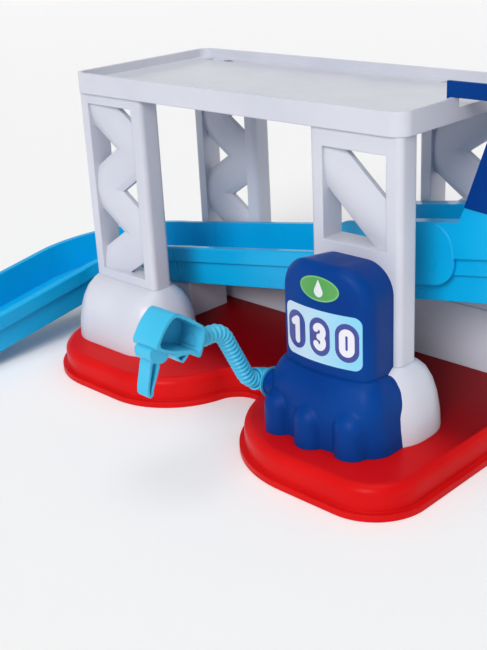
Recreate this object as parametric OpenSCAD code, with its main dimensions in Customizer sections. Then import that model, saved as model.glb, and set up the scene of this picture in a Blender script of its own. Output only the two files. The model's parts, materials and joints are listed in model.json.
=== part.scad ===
// Lower storey of a toy race track tower: lobed base, lattice towers,
// sloping car track with an exit ramp, and a toy fuel pump with a hinged hose.
// Millimetres, +Z up, pump faces -Y, origin under the middle of the base.

/* [Base] */
// width of the base along X
base_w = 348; // [346:1:354]
// depth of the base along Y
base_d = 226; // [224:1:236]
// height of the base floor above the table
base_h = 20; // [18:1:24]
// width of the flange lip around the foot of the base
lip_w = 3.5; // [2:0.5:5]
// height of the flange lip
lip_h = 4; // [3:0.5:6]
// radius of the rounded shoulder of the base
shoulder_r = 6; // [4:0.5:8]
// wall and floor thickness of the base shell
base_t = 3; // [2.5:0.5:4]
// radius of the square corners of the base
corner_r = 36; // [30:1:40]
// radius of the front left lobe
lobe_l_r = 59; // [57:1:61]
// radius of the front right lobe, which carries the pump
lobe_r_r = 76.5; // [75.5:0.5:78]
// radius of the hollow between the two front lobes
valley_r = 19; // [17:1:22]
// thickness of the ribs under the base
rib_t = 1.6; // [1.2:0.2:2.4]
// radius of the foot under the middle of the base
foot_r = 8; // [6:0.5:10]

/* [Towers] */
// width of a tower along X
tower_w = 66; // [62:1:70]
// depth of a tower along Y
tower_d = 17; // [15:1:19]
// height of a tower between its foot and the deck
tower_h = 136; // [132:1:142]
// rounding of the upright edges of a tower
tower_r = 4; // [2:0.5:6]
// spacing of the towers along X
tower_dx = 215; // [212:1:218]
// spacing of the tower rows along Y
tower_dy = 109; // [108:1:112]
// width of the posts beside a tower opening
post_w = 10; // [8:1:13]
// thickness of the wall behind the pump in the front right tower
web_t = 8.5; // [6:0.5:10]
// width of a lattice bar
bar_w = 27; // [24:1:30]
// depth of a lattice bar
bar_t = 6.5; // [6:0.5:8]
// how far the crest of a lattice bar lies behind the tower face
bar_set = 2; // [1:0.5:4]
// rise of one lattice bar
bar_rise = 30.5; // [29:0.5:32]
// height of the solid rails at the ends of a tower
rail_h = 7; // [6:0.5:9]
// height of the lower rail edge of the pump tower window
sill_h = 69.5; // [67:0.5:72]
// width of the tenons at the ends of a tower
tenon_w = 40; // [34:1:44]
// depth of the tenons
tenon_d = 9; // [7:0.5:10]
// height of the tenons
tenon_h = 4; // [3:0.5:5]
// clearance between a tenon and its socket
tenon_gap = 0.2; // [0.1:0.05:0.4]

/* [Feet] */
// height of the bell feet and the rear plinth
bell_h = 44; // [42:1:47]
// width of a bell foot at the floor
bell_w = 96; // [92:1:100]
// depth of a bell foot at the floor
bell_d = 64; // [60:1:68]
// wall thickness of the feet
bell_t = 2.6; // [2:0.2:3.4]
// length of the rear plinth
plinth_w = 318; // [314:1:322]
// depth of the rear plinth
plinth_d = 30; // [28:1:32]
// rounding of the rear plinth edges
plinth_r = 5; // [3:0.5:7]

/* [Deck] */
// thickness of the deck body
deck_h = 8; // [8:0.5:10]
// overhang of the deck past the towers
deck_over = 2; // [1:0.5:4]
// height of the curb on the deck
curb_h = 6; // [4:0.5:9]
// wall thickness of the deck
deck_t = 3; // [2.5:0.25:3.5]

/* [Track] */
// slope of the track in degrees
slope = 9.4; // [9:0.1:9.8]
// outside width of the track
track_w = 51; // [49:0.5:52]
// outside face of the near track lip, along Y
track_y = 6; // [5:0.5:7]
// height of the underside of the track above the middle of the base
track_z = 67.4; // [66:0.2:69]
// height of the near track wall
near_h = 28.6; // [27:0.2:31]
// height of the far track wall
far_h = 36.6; // [34:0.2:38]
// height of the rolled lip along a track wall
roll_h = 12; // [10:0.5:13]
// how far the rolled lip stands out
roll_w = 3; // [2:0.25:4]
// wall thickness of the track
track_t = 2.4; // [2:0.1:3]
// height of the running floor above the underside
run_h = 11; // [10:0.5:13]
// left end of the straight track, where the exit ramp starts
joint_x = -118; // [-120:1:-117]
// right end of the straight track
track_end = 165; // [162:1:166]
// gap left between the straight track and the exit ramp
joint_gap = 0.3; // [0.2:0.1:0.6]
// where the exit ramp starts to turn
turn_x = -150; // [-152:1:-147]
// inside radius of the exit ramp turn
turn_r = 36; // [35:1:40]
// length of the straight end of the exit ramp
ramp_run = 150; // [140:1:160]

/* [Landing and chute] */
// height of the landing apron, square to the track
apron_h = 39.5; // [37.5:0.5:41.5]
// gap between the track and the landing apron
apron_gap = 1.5; // [1:0.1:2]
// wall thickness of the landing and the chute
guard_t = 2.5; // [2:0.1:3]
// left end of the landing apron
apron_x = 48; // [46:1:52]
// length of the landing apron along the track
apron_len = 92; // [90:0.5:94]
// right end of the landing
land_end = 176; // [175:1:178]
// corner radius of the landing apron
apron_r = 16; // [12:1:18]
// radius of the landing scoop
scoop_r = 40; // [38:1:42]
// height of the top of the drop chute above the deck curb
chute_top = 9; // [7:0.5:12]
// lean of the drop chute in degrees
chute_lean = 19; // [18:0.5:20]

/* [Pump] */
// width of the pump body
pump_w = 66; // [64:1:67]
// depth of the pump body in front of the tower
pump_d = 32; // [31:0.5:34]
// height of the pump above the base floor
pump_h = 110; // [107:1:112]
// edge rounding of the pump body
pump_r = 6; // [5:0.5:7]
// top corner radius of the pump body
pump_top_r = 22; // [18:1:25]
// height of the pump waist above the base floor
waist_h = 46; // [44:1:48]
// how far the skirt stands out at each side of the pump
skirt_out = 9; // [8:0.5:9.5]
// how far the skirt stands out in front of the pump
skirt_front = 11; // [9:0.5:12]
// radius of the rounded lobes of the skirt
lobe_r = 10; // [8:0.5:11]
// radius of the bowed pump face
face_r = 95; // [90:1:130]
// wall thickness of the pump shell
pump_t = 2.6; // [2:0.2:3.2]
// thickness of the pump back plate
plate_t = 3; // [2.5:0.25:4]
// width of the display label
label_w = 56; // [48:1:57]
// height of the display label
label_h = 33; // [29:1:34]
// thickness of the labels
label_t = 0.6; // [0.4:0.1:0.8]
// width of the oval badge
badge_w = 30; // [24:1:32]

/* [Hose and nozzle] */
// height of the hose hinge above the base floor
hinge_h = 23.5; // [22.5:0.5:25]
// distance of the hose hinge in front of the front towers
hinge_y = 36; // [34:0.5:38]
// radius of the hinge axle
axle_r = 3; // [2.5:0.25:3.5]
// running clearance around the hinge axle
axle_gap = 0.06; // [0.04:0.01:0.09]
// side gap between the hub and the pump
hub_gap = 0.4; // [0.3:0.05:0.6]
// radius of the hub flange
hub_r = 10; // [9:0.25:11]
// outside radius of the hose ribs
hose_r = 5.5; // [5:0.1:5.6]
// depth of the grooves between the ribs
rib_depth = 1.1; // [0.8:0.1:1.3]
// bore radius of the hose
hose_bore = 3; // [2.4:0.1:3.2]
// bend radius of the hose
bend_r = 13; // [12.5:0.25:14]
// length of the straight middle of the hose
mid_run = 31.6; // [30:0.2:33]
// width of the nozzle
nozzle_w = 20; // [18:0.5:20]
// wall thickness of the nozzle
nozzle_t = 2; // [1.6:0.1:2.4]

/* [Screws] */
// shank radius of the screws
screw_r = 1.5; // [1.3:0.05:1.6]
// head radius of the screws
head_r = 3; // [2.7:0.1:3.2]
// head height of the screws
head_h = 2; // [1.6:0.1:2.2]
// clearance around a screw shank
screw_gap = 0.1; // [0.08:0.02:0.2]

/* [Hidden] */
$fn = 64;
eps = 0.01;
big = 400;
hull_fn = 32;
ball_fn = 24;

// heights and tower centres
floor_z = base_h;
foot_z = floor_z + bell_h;
deck_z = foot_z + tower_h;
deck_top = deck_z + deck_h;
row_mid = -7.5;
fr_x = row_mid + tower_dx / 2;
fl_x = row_mid - tower_dx / 2;
row_y = 17.5;
front_y = row_y - tower_dy / 2;
rear_y = row_y + tower_dy / 2;
bar_r = 1.15 * bar_w;
front_face = front_y - tower_d / 2;
rear_face = rear_y - tower_d / 2;

// base outline: centres of its arcs
half_w = base_w / 2;
half_d = base_d / 2;
lob_y = lobe_r_r - half_d;
lobe_l_x0 = lobe_l_r - half_w;
lobe_l_x1 = -74;
lobe_r_x = 96;
cor_x = half_w - corner_r;
cor_y = half_d - corner_r;
va = lobe_l_r + valley_r;
vb = lobe_r_r + valley_r;
vc = lobe_r_x - lobe_l_x1;
vx = (va * va - vb * vb + vc * vc) / (2 * vc);
vy = sqrt(va * va - vx * vx);
val_x = lobe_l_x1 + vx;
val_y = lob_y - vy;
valley_bite = 0.3;
lap_a = 20;
val_in = val_y + valley_r + lip_w + shoulder_r + 2;

// bell feet: corner radius, rim past the tower, and how far height share, width, depth and corner draw in
bell_r = 28;
bell_rim = 1.5;
bell_curve = [[0, 0, 0, 0], [0.25, 0.6, 0.6, 0.6], [0.47, 2, 2.2, 2], [0.68, 4.8, 5.6, 5.5],
              [0.84, 8, 10.6, 10.5], [0.95, 11.4, 17, 16]];

// screws under the base
bell_screw = 30;
leg_screw = 9;
plinth_y = rear_face - 1 + plinth_d / 2;
plinth_x = 5;
plinth_screws = [-140, -30, 45, 145];
leg_x = joint_x - 2;
leg_w = 24;
leg_y0 = track_y + roll_w + track_t + tenon_gap;
leg_y1 = track_y + track_w - roll_w - track_t - tenon_gap;
leg_y = (leg_y0 + leg_y1) / 2;
post_r = 5;
head_z = 8;
bite = 12;
track_bite = 5;

// track
cs = cos(slope);
sn = sin(slope);
tn = tan(slope);
near_in = roll_w + track_t;
floor_t = 2.6;
far_y = track_y + track_w;
lug_x = tower_w / 2 - post_w / 2;
lug_w = 9;
lug_v = 16;
lug_h = 10;
mid_r = turn_r + track_w / 2;
ramp_z0 = track_z + joint_x * tn;
turn_z = track_z + turn_x * tn;
arc_len = mid_r * PI / 2;
ramp_fall = turn_z / (arc_len + ramp_run);
arc_steps = 24;

// landing and chute
apron_end = apron_x + apron_len * cs;
chute_run = 30;
hook_len = 60;
cheek_x = apron_end + 4;
cheek_fall = 3;
cheek_in = 0.6;
scoop_lap = 1;
apron_rise = 52;
apron_y = track_y - apron_gap - guard_t;
far_apron = far_y + apron_gap;
lip_z = track_z + near_h / cs;
far_lip_z = track_z + far_h / cs;
apron_top = track_z + apron_rise;
apron_bot = apron_top - apron_h / cs;
cheek_z = apron_top + apron_end * tn + 9;
land_in0 = track_y + near_in + tenon_gap;
land_in1 = far_y - near_in - tenon_gap;
scoop_x = land_end - cheek_in - guard_t - scoop_r;
curb_top = deck_top + curb_h;
chute_end = curb_top + chute_top;
deck_x0 = fl_x - tower_w / 2 - deck_over;
deck_x1 = fr_x + tower_w / 2 + deck_over;
deck_y0 = front_face - deck_over;
deck_y1 = rear_y + tower_d / 2 + deck_over;
deck_r = 10;

// pump; the skirt draws in along a power curve from a share of its height
skirt_r = 14;
skirt_slice = 1;
skirt_from = 0.36;
skirt_bend = 1.9;
skirt_steps = 6;
skirt_lap = 0.5;
pump_x = fr_x - 1.5;
pump_back = front_face;
pump_front = pump_back - pump_d;
waist_z = floor_z + waist_h;
pump_top = floor_z + pump_h;
pump_x0 = pump_x - pump_w / 2;
skirt_x0 = pump_x0 - skirt_out;
label_x = pump_x + 1;
label_z = floor_z + 66.5;
badge_z = floor_z + 96;
badge_h = badge_w * 0.5;
face_y = pump_front + face_r;
label_r = 5;
lobe_x = [pump_x - 24, pump_x - 1, pump_x + 27];
lobe_in = [1.5, -0.5, 4];
lobe_h = [22, 17.5, 18.5];
back_in = 3;
spine = 3;
throat = 12;
plate_w = pump_w - 2 * pump_t - 2 * back_in;
plate_h = pump_top - pump_top_r - waist_z - pump_t;
pump_screw_x = tower_w / 2 - post_w - head_r - 3;
pump_screw_z = [foot_z + rail_h + head_r + 1, waist_z + pump_t + plate_h - 2 * head_r];

// hose arm
hin_y = front_y - hinge_y;
hin_z = floor_z + hinge_h;
boss_len = 13;
boss_r = hub_r - 1.5;
boss_x = skirt_x0 - 0.5;
hub_x = boss_x - hub_gap;
end_play = 0.4;
axle_end = hub_x + boss_len + hub_gap + end_play;
sock_len = 8;
sock_r = hose_r + 1.6;
arm_x = hub_x - sock_r - 0.4;
sock_out = 4;
knob = 6;
knob_r = 4;
// straight ends of the hose, and its dip at the nozzle, in the middle and at the hub
lead0 = 3.2 * hose_r;
lead1 = 0.9 * hose_r;
dip0 = 0;
dip1 = 62;
dip2 = 20;
ribs = 24;
per_rib = 4;
hose_sides = 12;
bore_steps = 40;
bore_out = 0.5;
bore_turn = 0.4;
sock_depth = 4;
pilot_len = 6;
washer_t = 1;
washer_r = 6;
pilot_r = screw_r * 0.75;

// shared shapes

// upright block with rounded upright edges, centred on x and y
module pillar(w, d, h, r) {
    linear_extrude(height = h) rounded(w, d, r);
}

// flat rectangle with round corners
module rounded(w, d, r) {
    square([w - 2 * r, d], center = true);
    square([w, d - 2 * r], center = true);
    for (sx = [-1, 1])
        for (sy = [-1, 1])
            translate([sx * (w / 2 - r), sy * (d / 2 - r)]) circle(r = r);
}

// pan head screw pointing up from z = 0, its head below
module screw(len) {
    translate([0, 0, -head_h]) cylinder(r = head_r, h = head_h);
    cylinder(r = screw_r, h = len);
}

// clearance hole for a screw that points up from z = 0
module screw_hole(len) {
    translate([0, 0, -eps]) cylinder(r = screw_r + screw_gap, h = len + 2 * eps);
}

// solid from a row of rings of points; caps lists the flat pieces that close the ends
module loft(rings, caps) {
    n = len(rings);
    m = len(rings[0]);
    pts = [for (ring = rings) for (p = ring) p];
    sides = [for (i = [0:n - 2]) for (j = [0:m - 1]) for (k = [0, 1])
        let (a = i * m + j, b = i * m + (j + 1) % m, c = b + m, d = a + m)
        k == 0 ? [a, b, c] : [a, c, d]];
    first = [for (cap = caps) for (i = [1:len(cap) - 2]) [cap[0], cap[i + 1], cap[i]]];
    last = [for (cap = caps) for (i = [1:len(cap) - 2])
        [for (q = [cap[0], cap[i], cap[i + 1]]) q + (n - 1) * m]];
    polyhedron(points = pts, faces = concat(first, sides, last), convexity = 10);
}

// base

// upright section of the base shell edge, r from the arc centre
module base_edge(r) {
    w = r - lip_w;
    s = base_h - shoulder_r;
    square([r, lip_h]);
    square([w, s]);
    square([w - shoulder_r, base_h]);
    translate([w - shoulder_r, s]) intersection() {
        circle(r = shoulder_r);
        square(shoulder_r);
    }
}

// part of the base swept round an arc
module base_arc(x, y, r, a0, a1) {
    translate([x, y, 0]) rotate([0, 0, a0]) rotate_extrude(angle = a1 - a0) base_edge(r);
}

// straight part of the base edge: starts at x, y, runs len along direction a, edge on its right
module base_run(x, y, r, len, a) {
    translate([x, y, 0]) rotate([0, 0, a - 90]) translate([0, len, 0]) rotate([90, 0, 0])
        linear_extrude(height = len) base_edge(r);
}

// outline of the base drawn in by e
module base_outline(e) {
    translate([lobe_l_x0, lob_y]) circle(r = lobe_l_r - e);
    translate([lobe_l_x1, lob_y]) circle(r = lobe_l_r - e);
    translate([lobe_r_x, lob_y]) circle(r = lobe_r_r - e);
    for (sx = [-1, 1]) translate([sx * cor_x, cor_y]) circle(r = corner_r - e);
    translate([cor_x, -cor_y]) circle(r = corner_r - e);
    translate([lobe_l_x0, lob_y - lobe_l_r + e]) square([lobe_l_x1 - lobe_l_x0, lobe_l_r + val_in - lob_y]);
    translate([lobe_r_x, e - half_d]) square([cor_x - lobe_r_x, half_d]);
    translate([lobe_r_x, -cor_y]) square([half_w - e - lobe_r_x, 2 * cor_y]);
    translate([e - half_w, lob_y]) square([lobe_l_r - e, cor_y - lob_y]);
    translate([-cor_x, val_in]) square([2 * cor_x, half_d - e - val_in]);
    difference() {
        polygon([[lobe_l_x1, lob_y], [val_x, val_y], [lobe_r_x, lob_y], [lobe_r_x, val_in],
                 [lobe_l_x1, val_in]]);
        translate([val_x, val_y]) circle(r = valley_r + valley_bite + e);
    }
}

// solid body of the base with its lip and rounded shoulder
module base_body() {
    base_arc(lobe_l_x0, lob_y, lobe_l_r, 180, 270);
    base_run(lobe_l_x0, lob_y, lobe_l_r, lobe_l_x1 - lobe_l_x0, 0);
    base_arc(lobe_l_x1, lob_y, lobe_l_r, -90, lap_a);
    translate([2 * lobe_r_x, 0, 0]) mirror([1, 0, 0]) base_arc(lobe_r_x, lob_y, lobe_r_r, -90, lap_a);
    base_run(lobe_r_x, -cor_y, corner_r, cor_x - lobe_r_x, 0);
    base_arc(cor_x, -cor_y, corner_r, -90, 0);
    base_run(cor_x, -cor_y, corner_r, 2 * cor_y, 90);
    base_arc(cor_x, cor_y, corner_r, 0, 90);
    base_run(cor_x, cor_y, corner_r, 2 * cor_x, 180);
    base_arc(-cor_x, cor_y, corner_r, 90, 180);
    base_run(-cor_x, cor_y, corner_r, cor_y - lob_y, 270);
    linear_extrude(height = base_h)
        polygon([[-cor_x, lob_y], [lobe_l_x1, lob_y], [lobe_l_x1, val_in], [lobe_r_x, val_in],
                 [lobe_r_x, -cor_y], [cor_x, -cor_y], [cor_x, cor_y], [-cor_x, cor_y]]);
    difference() {
        linear_extrude(height = base_h)
            polygon([[lobe_l_x1, lob_y], [val_x, val_y], [lobe_r_x, lob_y], [lobe_r_x, val_in],
                     [lobe_l_x1, val_in]]);
        translate([val_x, val_y, -eps]) valley_cut();
    }
}

// space outside the base in the hollow between the lobes
module valley_cut() {
    r = valley_r + valley_bite;
    w = r + lip_w;
    s = base_h - shoulder_r;
    rotate_extrude() difference() {
        square([w + shoulder_r, base_h + 1]);
        translate([r, 0]) square([big, lip_h + eps]);
        translate([w, 0]) square([big, s + eps]);
        translate([w + shoulder_r, s + eps]) circle(r = shoulder_r);
    }
}

// places of the screws under the base
function base_screw_spots() = concat(
    [for (x = [fl_x, fr_x]) for (s = [-1, 1]) [x + s * bell_screw, front_y]],
    [for (x = plinth_screws) [x, plinth_y]],
    [[leg_x, leg_y - leg_screw], [leg_x, leg_y + leg_screw]]);

module base_plate() {
    color([0.85, 0.12, 0.1]) difference() {
        union() {
            difference() {
                base_body();
                translate([0, 0, -eps]) linear_extrude(height = base_h - base_t + eps)
                    base_outline(lip_w + base_t);
            }
            translate([0, 0, head_z]) linear_extrude(height = base_h - base_t - head_z + eps)
                intersection() {
                    base_outline(lip_w + base_t / 2);
                    base_ribs();
                }
            for (p = base_screw_spots())
                translate([p[0], p[1], head_z]) cylinder(r = post_r, h = base_h - base_t - head_z + eps);
            cylinder(r = foot_r, h = base_h - base_t + eps);
        }
        for (p = base_screw_spots()) translate([p[0], p[1], head_z]) screw_hole(base_h);
    }
}

// rib pattern under the base
module base_ribs() {
    for (y = [front_y, plinth_y, leg_y]) translate([-half_w, y - rib_t / 2]) square([base_w, rib_t]);
    for (x = [fl_x - bell_screw, fl_x + bell_screw, 0, fr_x - bell_screw, fr_x + bell_screw])
        translate([x - rib_t / 2, -half_d]) square([rib_t, base_d]);
}

// feet

// height share, half width, half depth and corner radius up a bell, drawn in by e
function bell_steps(e) = concat(
    [for (c = bell_curve) [c[0], bell_w / 2 - c[1] - e, bell_d / 2 - c[2] - e, bell_r - c[3] - e]],
    [[1, tower_w / 2 + bell_rim - e, tower_d / 2 + bell_rim - e, tower_r * 2 - e]]);

// smooth dome of a bell foot
module bell_dome(h, e) {
    hull() for (s = bell_steps(e)) for (sx = [-1, 1]) for (sy = [-1, 1])
        translate([sx * (s[1] - s[3]), sy * (s[2] - s[3]), s[0] * h - (s[0] > 0 ? eps : 0)])
            cylinder(r = s[3], h = eps, $fn = hull_fn);
}

module bell_foot(x) {
    translate([x, front_y, floor_z]) difference() {
        union() {
            difference() {
                bell_dome(bell_h, 0);
                translate([0, 0, -eps]) bell_dome(bell_h - 2 * bell_t, bell_t);
            }
            translate([0, 0, bell_h - 3 * bell_t])
                pillar(tenon_w + 4 * bell_t, tenon_d + 2 * bell_t, 2 * bell_t, bell_t);
            for (s = [-1, 1]) translate([s * bell_screw, 0, 0])
                cylinder(r = post_r, h = bell_h - 2 * bell_t + eps);
        }
        translate([0, 0, bell_h - tenon_h - tenon_gap]) linear_extrude(height = big)
            square([tenon_w + 2 * tenon_gap, tenon_d + 2 * tenon_gap], center = true);
        for (s = [-1, 1]) translate([s * bell_screw, 0, 0]) screw_hole(bite);
    }
}

module bell_foot_left() {
    color([0.9, 0.91, 0.95]) bell_foot(fl_x);
}

module bell_foot_right() {
    color([0.9, 0.91, 0.95]) bell_foot(fr_x);
}

module rear_plinth() {
    color([0.9, 0.91, 0.95]) difference() {
        union() {
            translate([plinth_x, plinth_y, floor_z]) difference() {
                pillar(plinth_w, plinth_d, bell_h, plinth_r);
                translate([0, 0, -eps])
                    pillar(plinth_w - 2 * bell_t, plinth_d - 2 * bell_t, bell_h - 2 * bell_t + eps, bell_t);
            }
            for (x = [fl_x, fr_x]) translate([x, rear_y, foot_z - 3 * bell_t])
                pillar(tenon_w + 4 * bell_t, tenon_d + 2 * bell_t, 2 * bell_t, bell_t);
            for (x = plinth_screws) translate([x, plinth_y, floor_z])
                cylinder(r = post_r, h = bell_h - 2 * bell_t + eps);
        }
        for (x = [fl_x, fr_x]) translate([x, rear_y, foot_z - tenon_h - tenon_gap])
            linear_extrude(height = big)
                square([tenon_w + 2 * tenon_gap, tenon_d + 2 * tenon_gap], center = true);
        for (x = plinth_screws) translate([x, plinth_y, floor_z]) screw_hole(bite);
    }
}

// towers

// one lattice bar from the left post to the right post, rising when up is 1
module lattice_bar(z, rise, up) {
    w = tower_w - 2 * post_w;
    a = atan(rise / w);
    y0 = bar_set - tower_d / 2;
    translate([0, 0, z]) rotate([0, -up * a, 0]) intersection() {
        translate([-w, y0 - 1, -bar_w / 2]) cube([2 * w, bar_t + 1, bar_w]);
        translate([-w, y0 + bar_r, 0]) rotate([0, 90, 0]) cylinder(r = bar_r, h = 2 * w);
    }
}

// frame of a tower with an opening between z0 and z1
module tower_frame(z0, z1) {
    w = tower_w - 2 * post_w;
    difference() {
        pillar(tower_w, tower_d, tower_h, tower_r);
        translate([-w / 2, -tower_d, z0]) cube([w, 2 * tower_d, z1 - z0]);
    }
    for (z = [-tenon_h, tower_h - eps]) translate([-tenon_w / 2, -tenon_d / 2, z])
        cube([tenon_w, tenon_d, tenon_h + eps]);
}

// holes of a tower: deck screw, and a track screw when lug is true
module tower_holes(lug, z) {
    translate([0, 0, tower_h - bite]) screw_hole(big);
    if (lug) translate([lug_x, tower_d / 2, z]) rotate([90, 0, 0]) screw_hole(tower_d);
}

// tower with zigzag lattice; first bar centre height z and its direction up
module zigzag_tower(z, up, lug, lug_z) {
    difference() {
        union() {
            tower_frame(rail_h, tower_h - rail_h);
            intersection() {
                union() for (i = [0:3]) lattice_bar(z + i * bar_rise, bar_rise, up * (i % 2 == 0 ? 1 : -1));
                translate([-tower_w / 2 + post_w / 2, -tower_d / 2, rail_h / 2])
                    cube([tower_w - post_w, tower_d, tower_h - rail_h]);
            }
        }
        tower_holes(lug, lug_z);
    }
}

// height of the track lug centre at x, above the foot of the towers
function lug_height(x) = track_z + x * tn + lug_v / cs - foot_z;

module tower_front_left() {
    color([0.88, 0.89, 0.94]) translate([fl_x, front_y, foot_z]) zigzag_tower(22, 1, false, 0);
}

module tower_rear_left() {
    color([0.84, 0.85, 0.92]) translate([fl_x, rear_y, foot_z])
        zigzag_tower(25.5, -1, true, lug_height(fl_x + lug_x));
}

module tower_rear_right() {
    color([0.84, 0.85, 0.92]) translate([fr_x, rear_y, foot_z])
        zigzag_tower(25.5, -1, true, lug_height(fr_x + lug_x));
}

module tower_front_right() {
    z1 = tower_h - rail_h - 4;
    color([0.88, 0.89, 0.94]) translate([fr_x, front_y, foot_z]) difference() {
        union() {
            tower_frame(sill_h, z1);
            intersection() {
                lattice_bar((sill_h + z1) / 2, z1 - sill_h - 15, -1);
                translate([-tower_w / 2 + post_w / 2, -tower_d / 2, sill_h - 1])
                    cube([tower_w - post_w, tower_d, z1 - sill_h + 2]);
            }
        }
        translate([-tower_w / 2 + post_w, tower_d / 2 - web_t, rail_h])
            cube([tower_w - 2 * post_w, tower_d, sill_h - 2 * rail_h]);
        tower_holes(false, 0);
        translate([-fr_x, -front_y, -foot_z]) at_pump_screws(front_y + tower_d / 2 - web_t)
            screw_hole(tower_d);
    }
}

// deck

module deck_block(e) {
    translate([(deck_x0 + deck_x1) / 2, (deck_y0 + deck_y1) / 2])
        rounded(deck_x1 - deck_x0 - 2 * e, deck_y1 - deck_y0 - 2 * e, deck_r - e);
}

module upper_deck() {
    color([0.9, 0.91, 0.95]) difference() {
        union() {
            difference() {
                translate([0, 0, deck_z]) linear_extrude(height = deck_h + curb_h) deck_block(0);
                translate([0, 0, deck_top]) linear_extrude(height = big) deck_block(deck_t);
                translate([0, 0, deck_z - eps]) linear_extrude(height = deck_h - deck_t) deck_block(deck_t);
            }
            for (x = [fl_x, fr_x]) for (y = [front_y, rear_y]) translate([x, y, deck_z])
                pillar(tower_w, tower_d, deck_h - deck_t + 1, tower_r);
        }
        translate([deck_x1 - 2 * deck_t, track_y, deck_top]) cube([big, track_w, big]);
        for (x = [fl_x, fr_x]) for (y = [front_y, rear_y]) translate([x, y, deck_z]) {
            translate([0, 0, -eps]) linear_extrude(height = tenon_h + tenon_gap)
                square([tenon_w + 2 * tenon_gap, tenon_d + 2 * tenon_gap], center = true);
            translate([0, 0, deck_h - head_h - tenon_gap]) linear_extrude(height = big)
                square([tenon_w + 2 * tenon_gap, tenon_d + 2 * tenon_gap], center = true);
            screw_hole(big);
        }
    }
}

// track

// outline of the track section, u across from the near lip, v up, heights stretched by k
function track_ring(k) = [
    [roll_w, 0],
    [near_in, 0],
    [near_in, (run_h - floor_t) * k],
    [track_w - near_in, (run_h - floor_t) * k],
    [track_w - near_in, 0],
    [track_w - roll_w, 0],
    [track_w - roll_w, (far_h - roll_h) * k],
    [track_w, (far_h - roll_h + 1) * k],
    [track_w, (far_h - 1) * k],
    [track_w - 1, far_h * k],
    [track_w - roll_w, far_h * k],
    [track_w - near_in, far_h * k],
    [track_w - near_in, run_h * k],
    [near_in, run_h * k],
    [near_in, near_h * k],
    [roll_w, near_h * k],
    [1, near_h * k],
    [0, (near_h - 1) * k],
    [0, (near_h - roll_h + 1) * k],
    [roll_w, (near_h - roll_h) * k]];
track_caps = [[19, 0, 1, 2, 13, 14, 15], [19, 15, 16, 17, 18], [2, 3, 12, 13], [6, 10, 11, 12, 3, 4, 5],
              [6, 7, 8, 9, 10]];

// straight length of track between two x values, cut off upright at its left end
module track_bar(x0, x1) {
    intersection() {
        translate([0, track_y, track_z]) rotate([0, -slope, 0]) translate([-big / 2, 0, 0])
            rotate([90, 0, 90]) linear_extrude(height = big) polygon(track_ring(1));
        translate([x0, -big / 2, 0]) cube([x1 - x0, big, big]);
    }
}

module centre_track() {
    color([0.12, 0.6, 0.86]) difference() {
        union() {
            track_bar(joint_x, track_end);
            for (x = [fl_x, fr_x])
                translate([x + lug_x, far_y - roll_w - 1, lug_height(x + lug_x) + foot_z])
                    translate([-lug_w / 2, 0, -lug_h / 2])
                        cube([lug_w, rear_face - far_y + roll_w + 1, lug_h]);
        }
        for (x = [fl_x, fr_x])
            translate([x + lug_x, rear_face, lug_height(x + lug_x) + foot_z]) rotate([90, 0, 0])
                screw_hole(track_bite + 1);
    }
}

module track_leg() {
    top = track_z + (leg_x - leg_w / 2) * tn + (run_h - floor_t) / cs;
    color([0.9, 0.91, 0.95]) difference() {
        translate([leg_x, leg_y, floor_z]) difference() {
            pillar(leg_w, leg_y1 - leg_y0, top + leg_w * tn - floor_z, 2);
            translate([0, 0, -eps])
                pillar(leg_w - 2 * bell_t, leg_y1 - leg_y0 - 2 * bell_t, bite - 1, 1);
        }
        translate([leg_x - leg_w / 2 - 1, 0, top - tn]) rotate([0, -slope, 0])
            cube([big, big, big]);
        for (s = [-1, 1]) translate([leg_x, leg_y + s * leg_screw, floor_z + bite - 1]) screw_hole(bite);
    }
}

// points of a track section at distance q along the turn and the end run of the exit ramp
function ramp_ring(x, y, z, a) = [for (p = track_ring(1 / cs))
    [x - p[0] * sin(a), y + p[0] * cos(a), z + p[1]]];

// stations of the exit ramp from its joint to the table
function ramp_rings() = concat(
    [ramp_ring(joint_x - joint_gap, track_y, ramp_z0 - joint_gap * tn, 0)],
    [for (i = [0:arc_steps]) let (a = 90 * i / arc_steps)
        ramp_ring(turn_x - turn_r * sin(a), track_y - turn_r + turn_r * cos(a),
                  turn_z - ramp_fall * arc_len * a / 90, a)],
    [for (i = [1:4])
        ramp_ring(turn_x - turn_r, track_y - turn_r - ramp_run * i / 4,
                  turn_z - ramp_fall * (arc_len + ramp_run * i / 4), 90)]);

module exit_ramp() {
    color([0.12, 0.6, 0.86]) loft(ramp_rings(), track_caps);
}

// landing and chute

// landing apron: an upright plate with round corners that leans with the track
module apron_plate() {
    translate([apron_x, apron_y + guard_t, apron_bot + apron_x * tn]) rotate([0, -slope, 0])
        translate([apron_len / 2, 0, apron_h / 2]) rotate([90, 0, 0]) linear_extrude(height = guard_t)
            rounded(apron_len, apron_h, apron_r);
}

// side view of a landing cheek that stands on a track wall whose top is z at x = 0
module cheek_side(z) {
    x0 = apron_x + apron_r;
    t = apron_top - cheek_in;
    polygon([[x0, z + x0 * tn], [land_end, z + land_end * tn], [land_end, cheek_z - cheek_fall],
             [cheek_x, cheek_z], [apron_end, t + apron_end * tn], [x0, t + x0 * tn]]);
}

// side view turned upright: draws x, z shapes between two y values
module upright(y0, y1) {
    translate([0, y1, 0]) rotate([90, 0, 0]) linear_extrude(height = y1 - y0) children();
}

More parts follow.
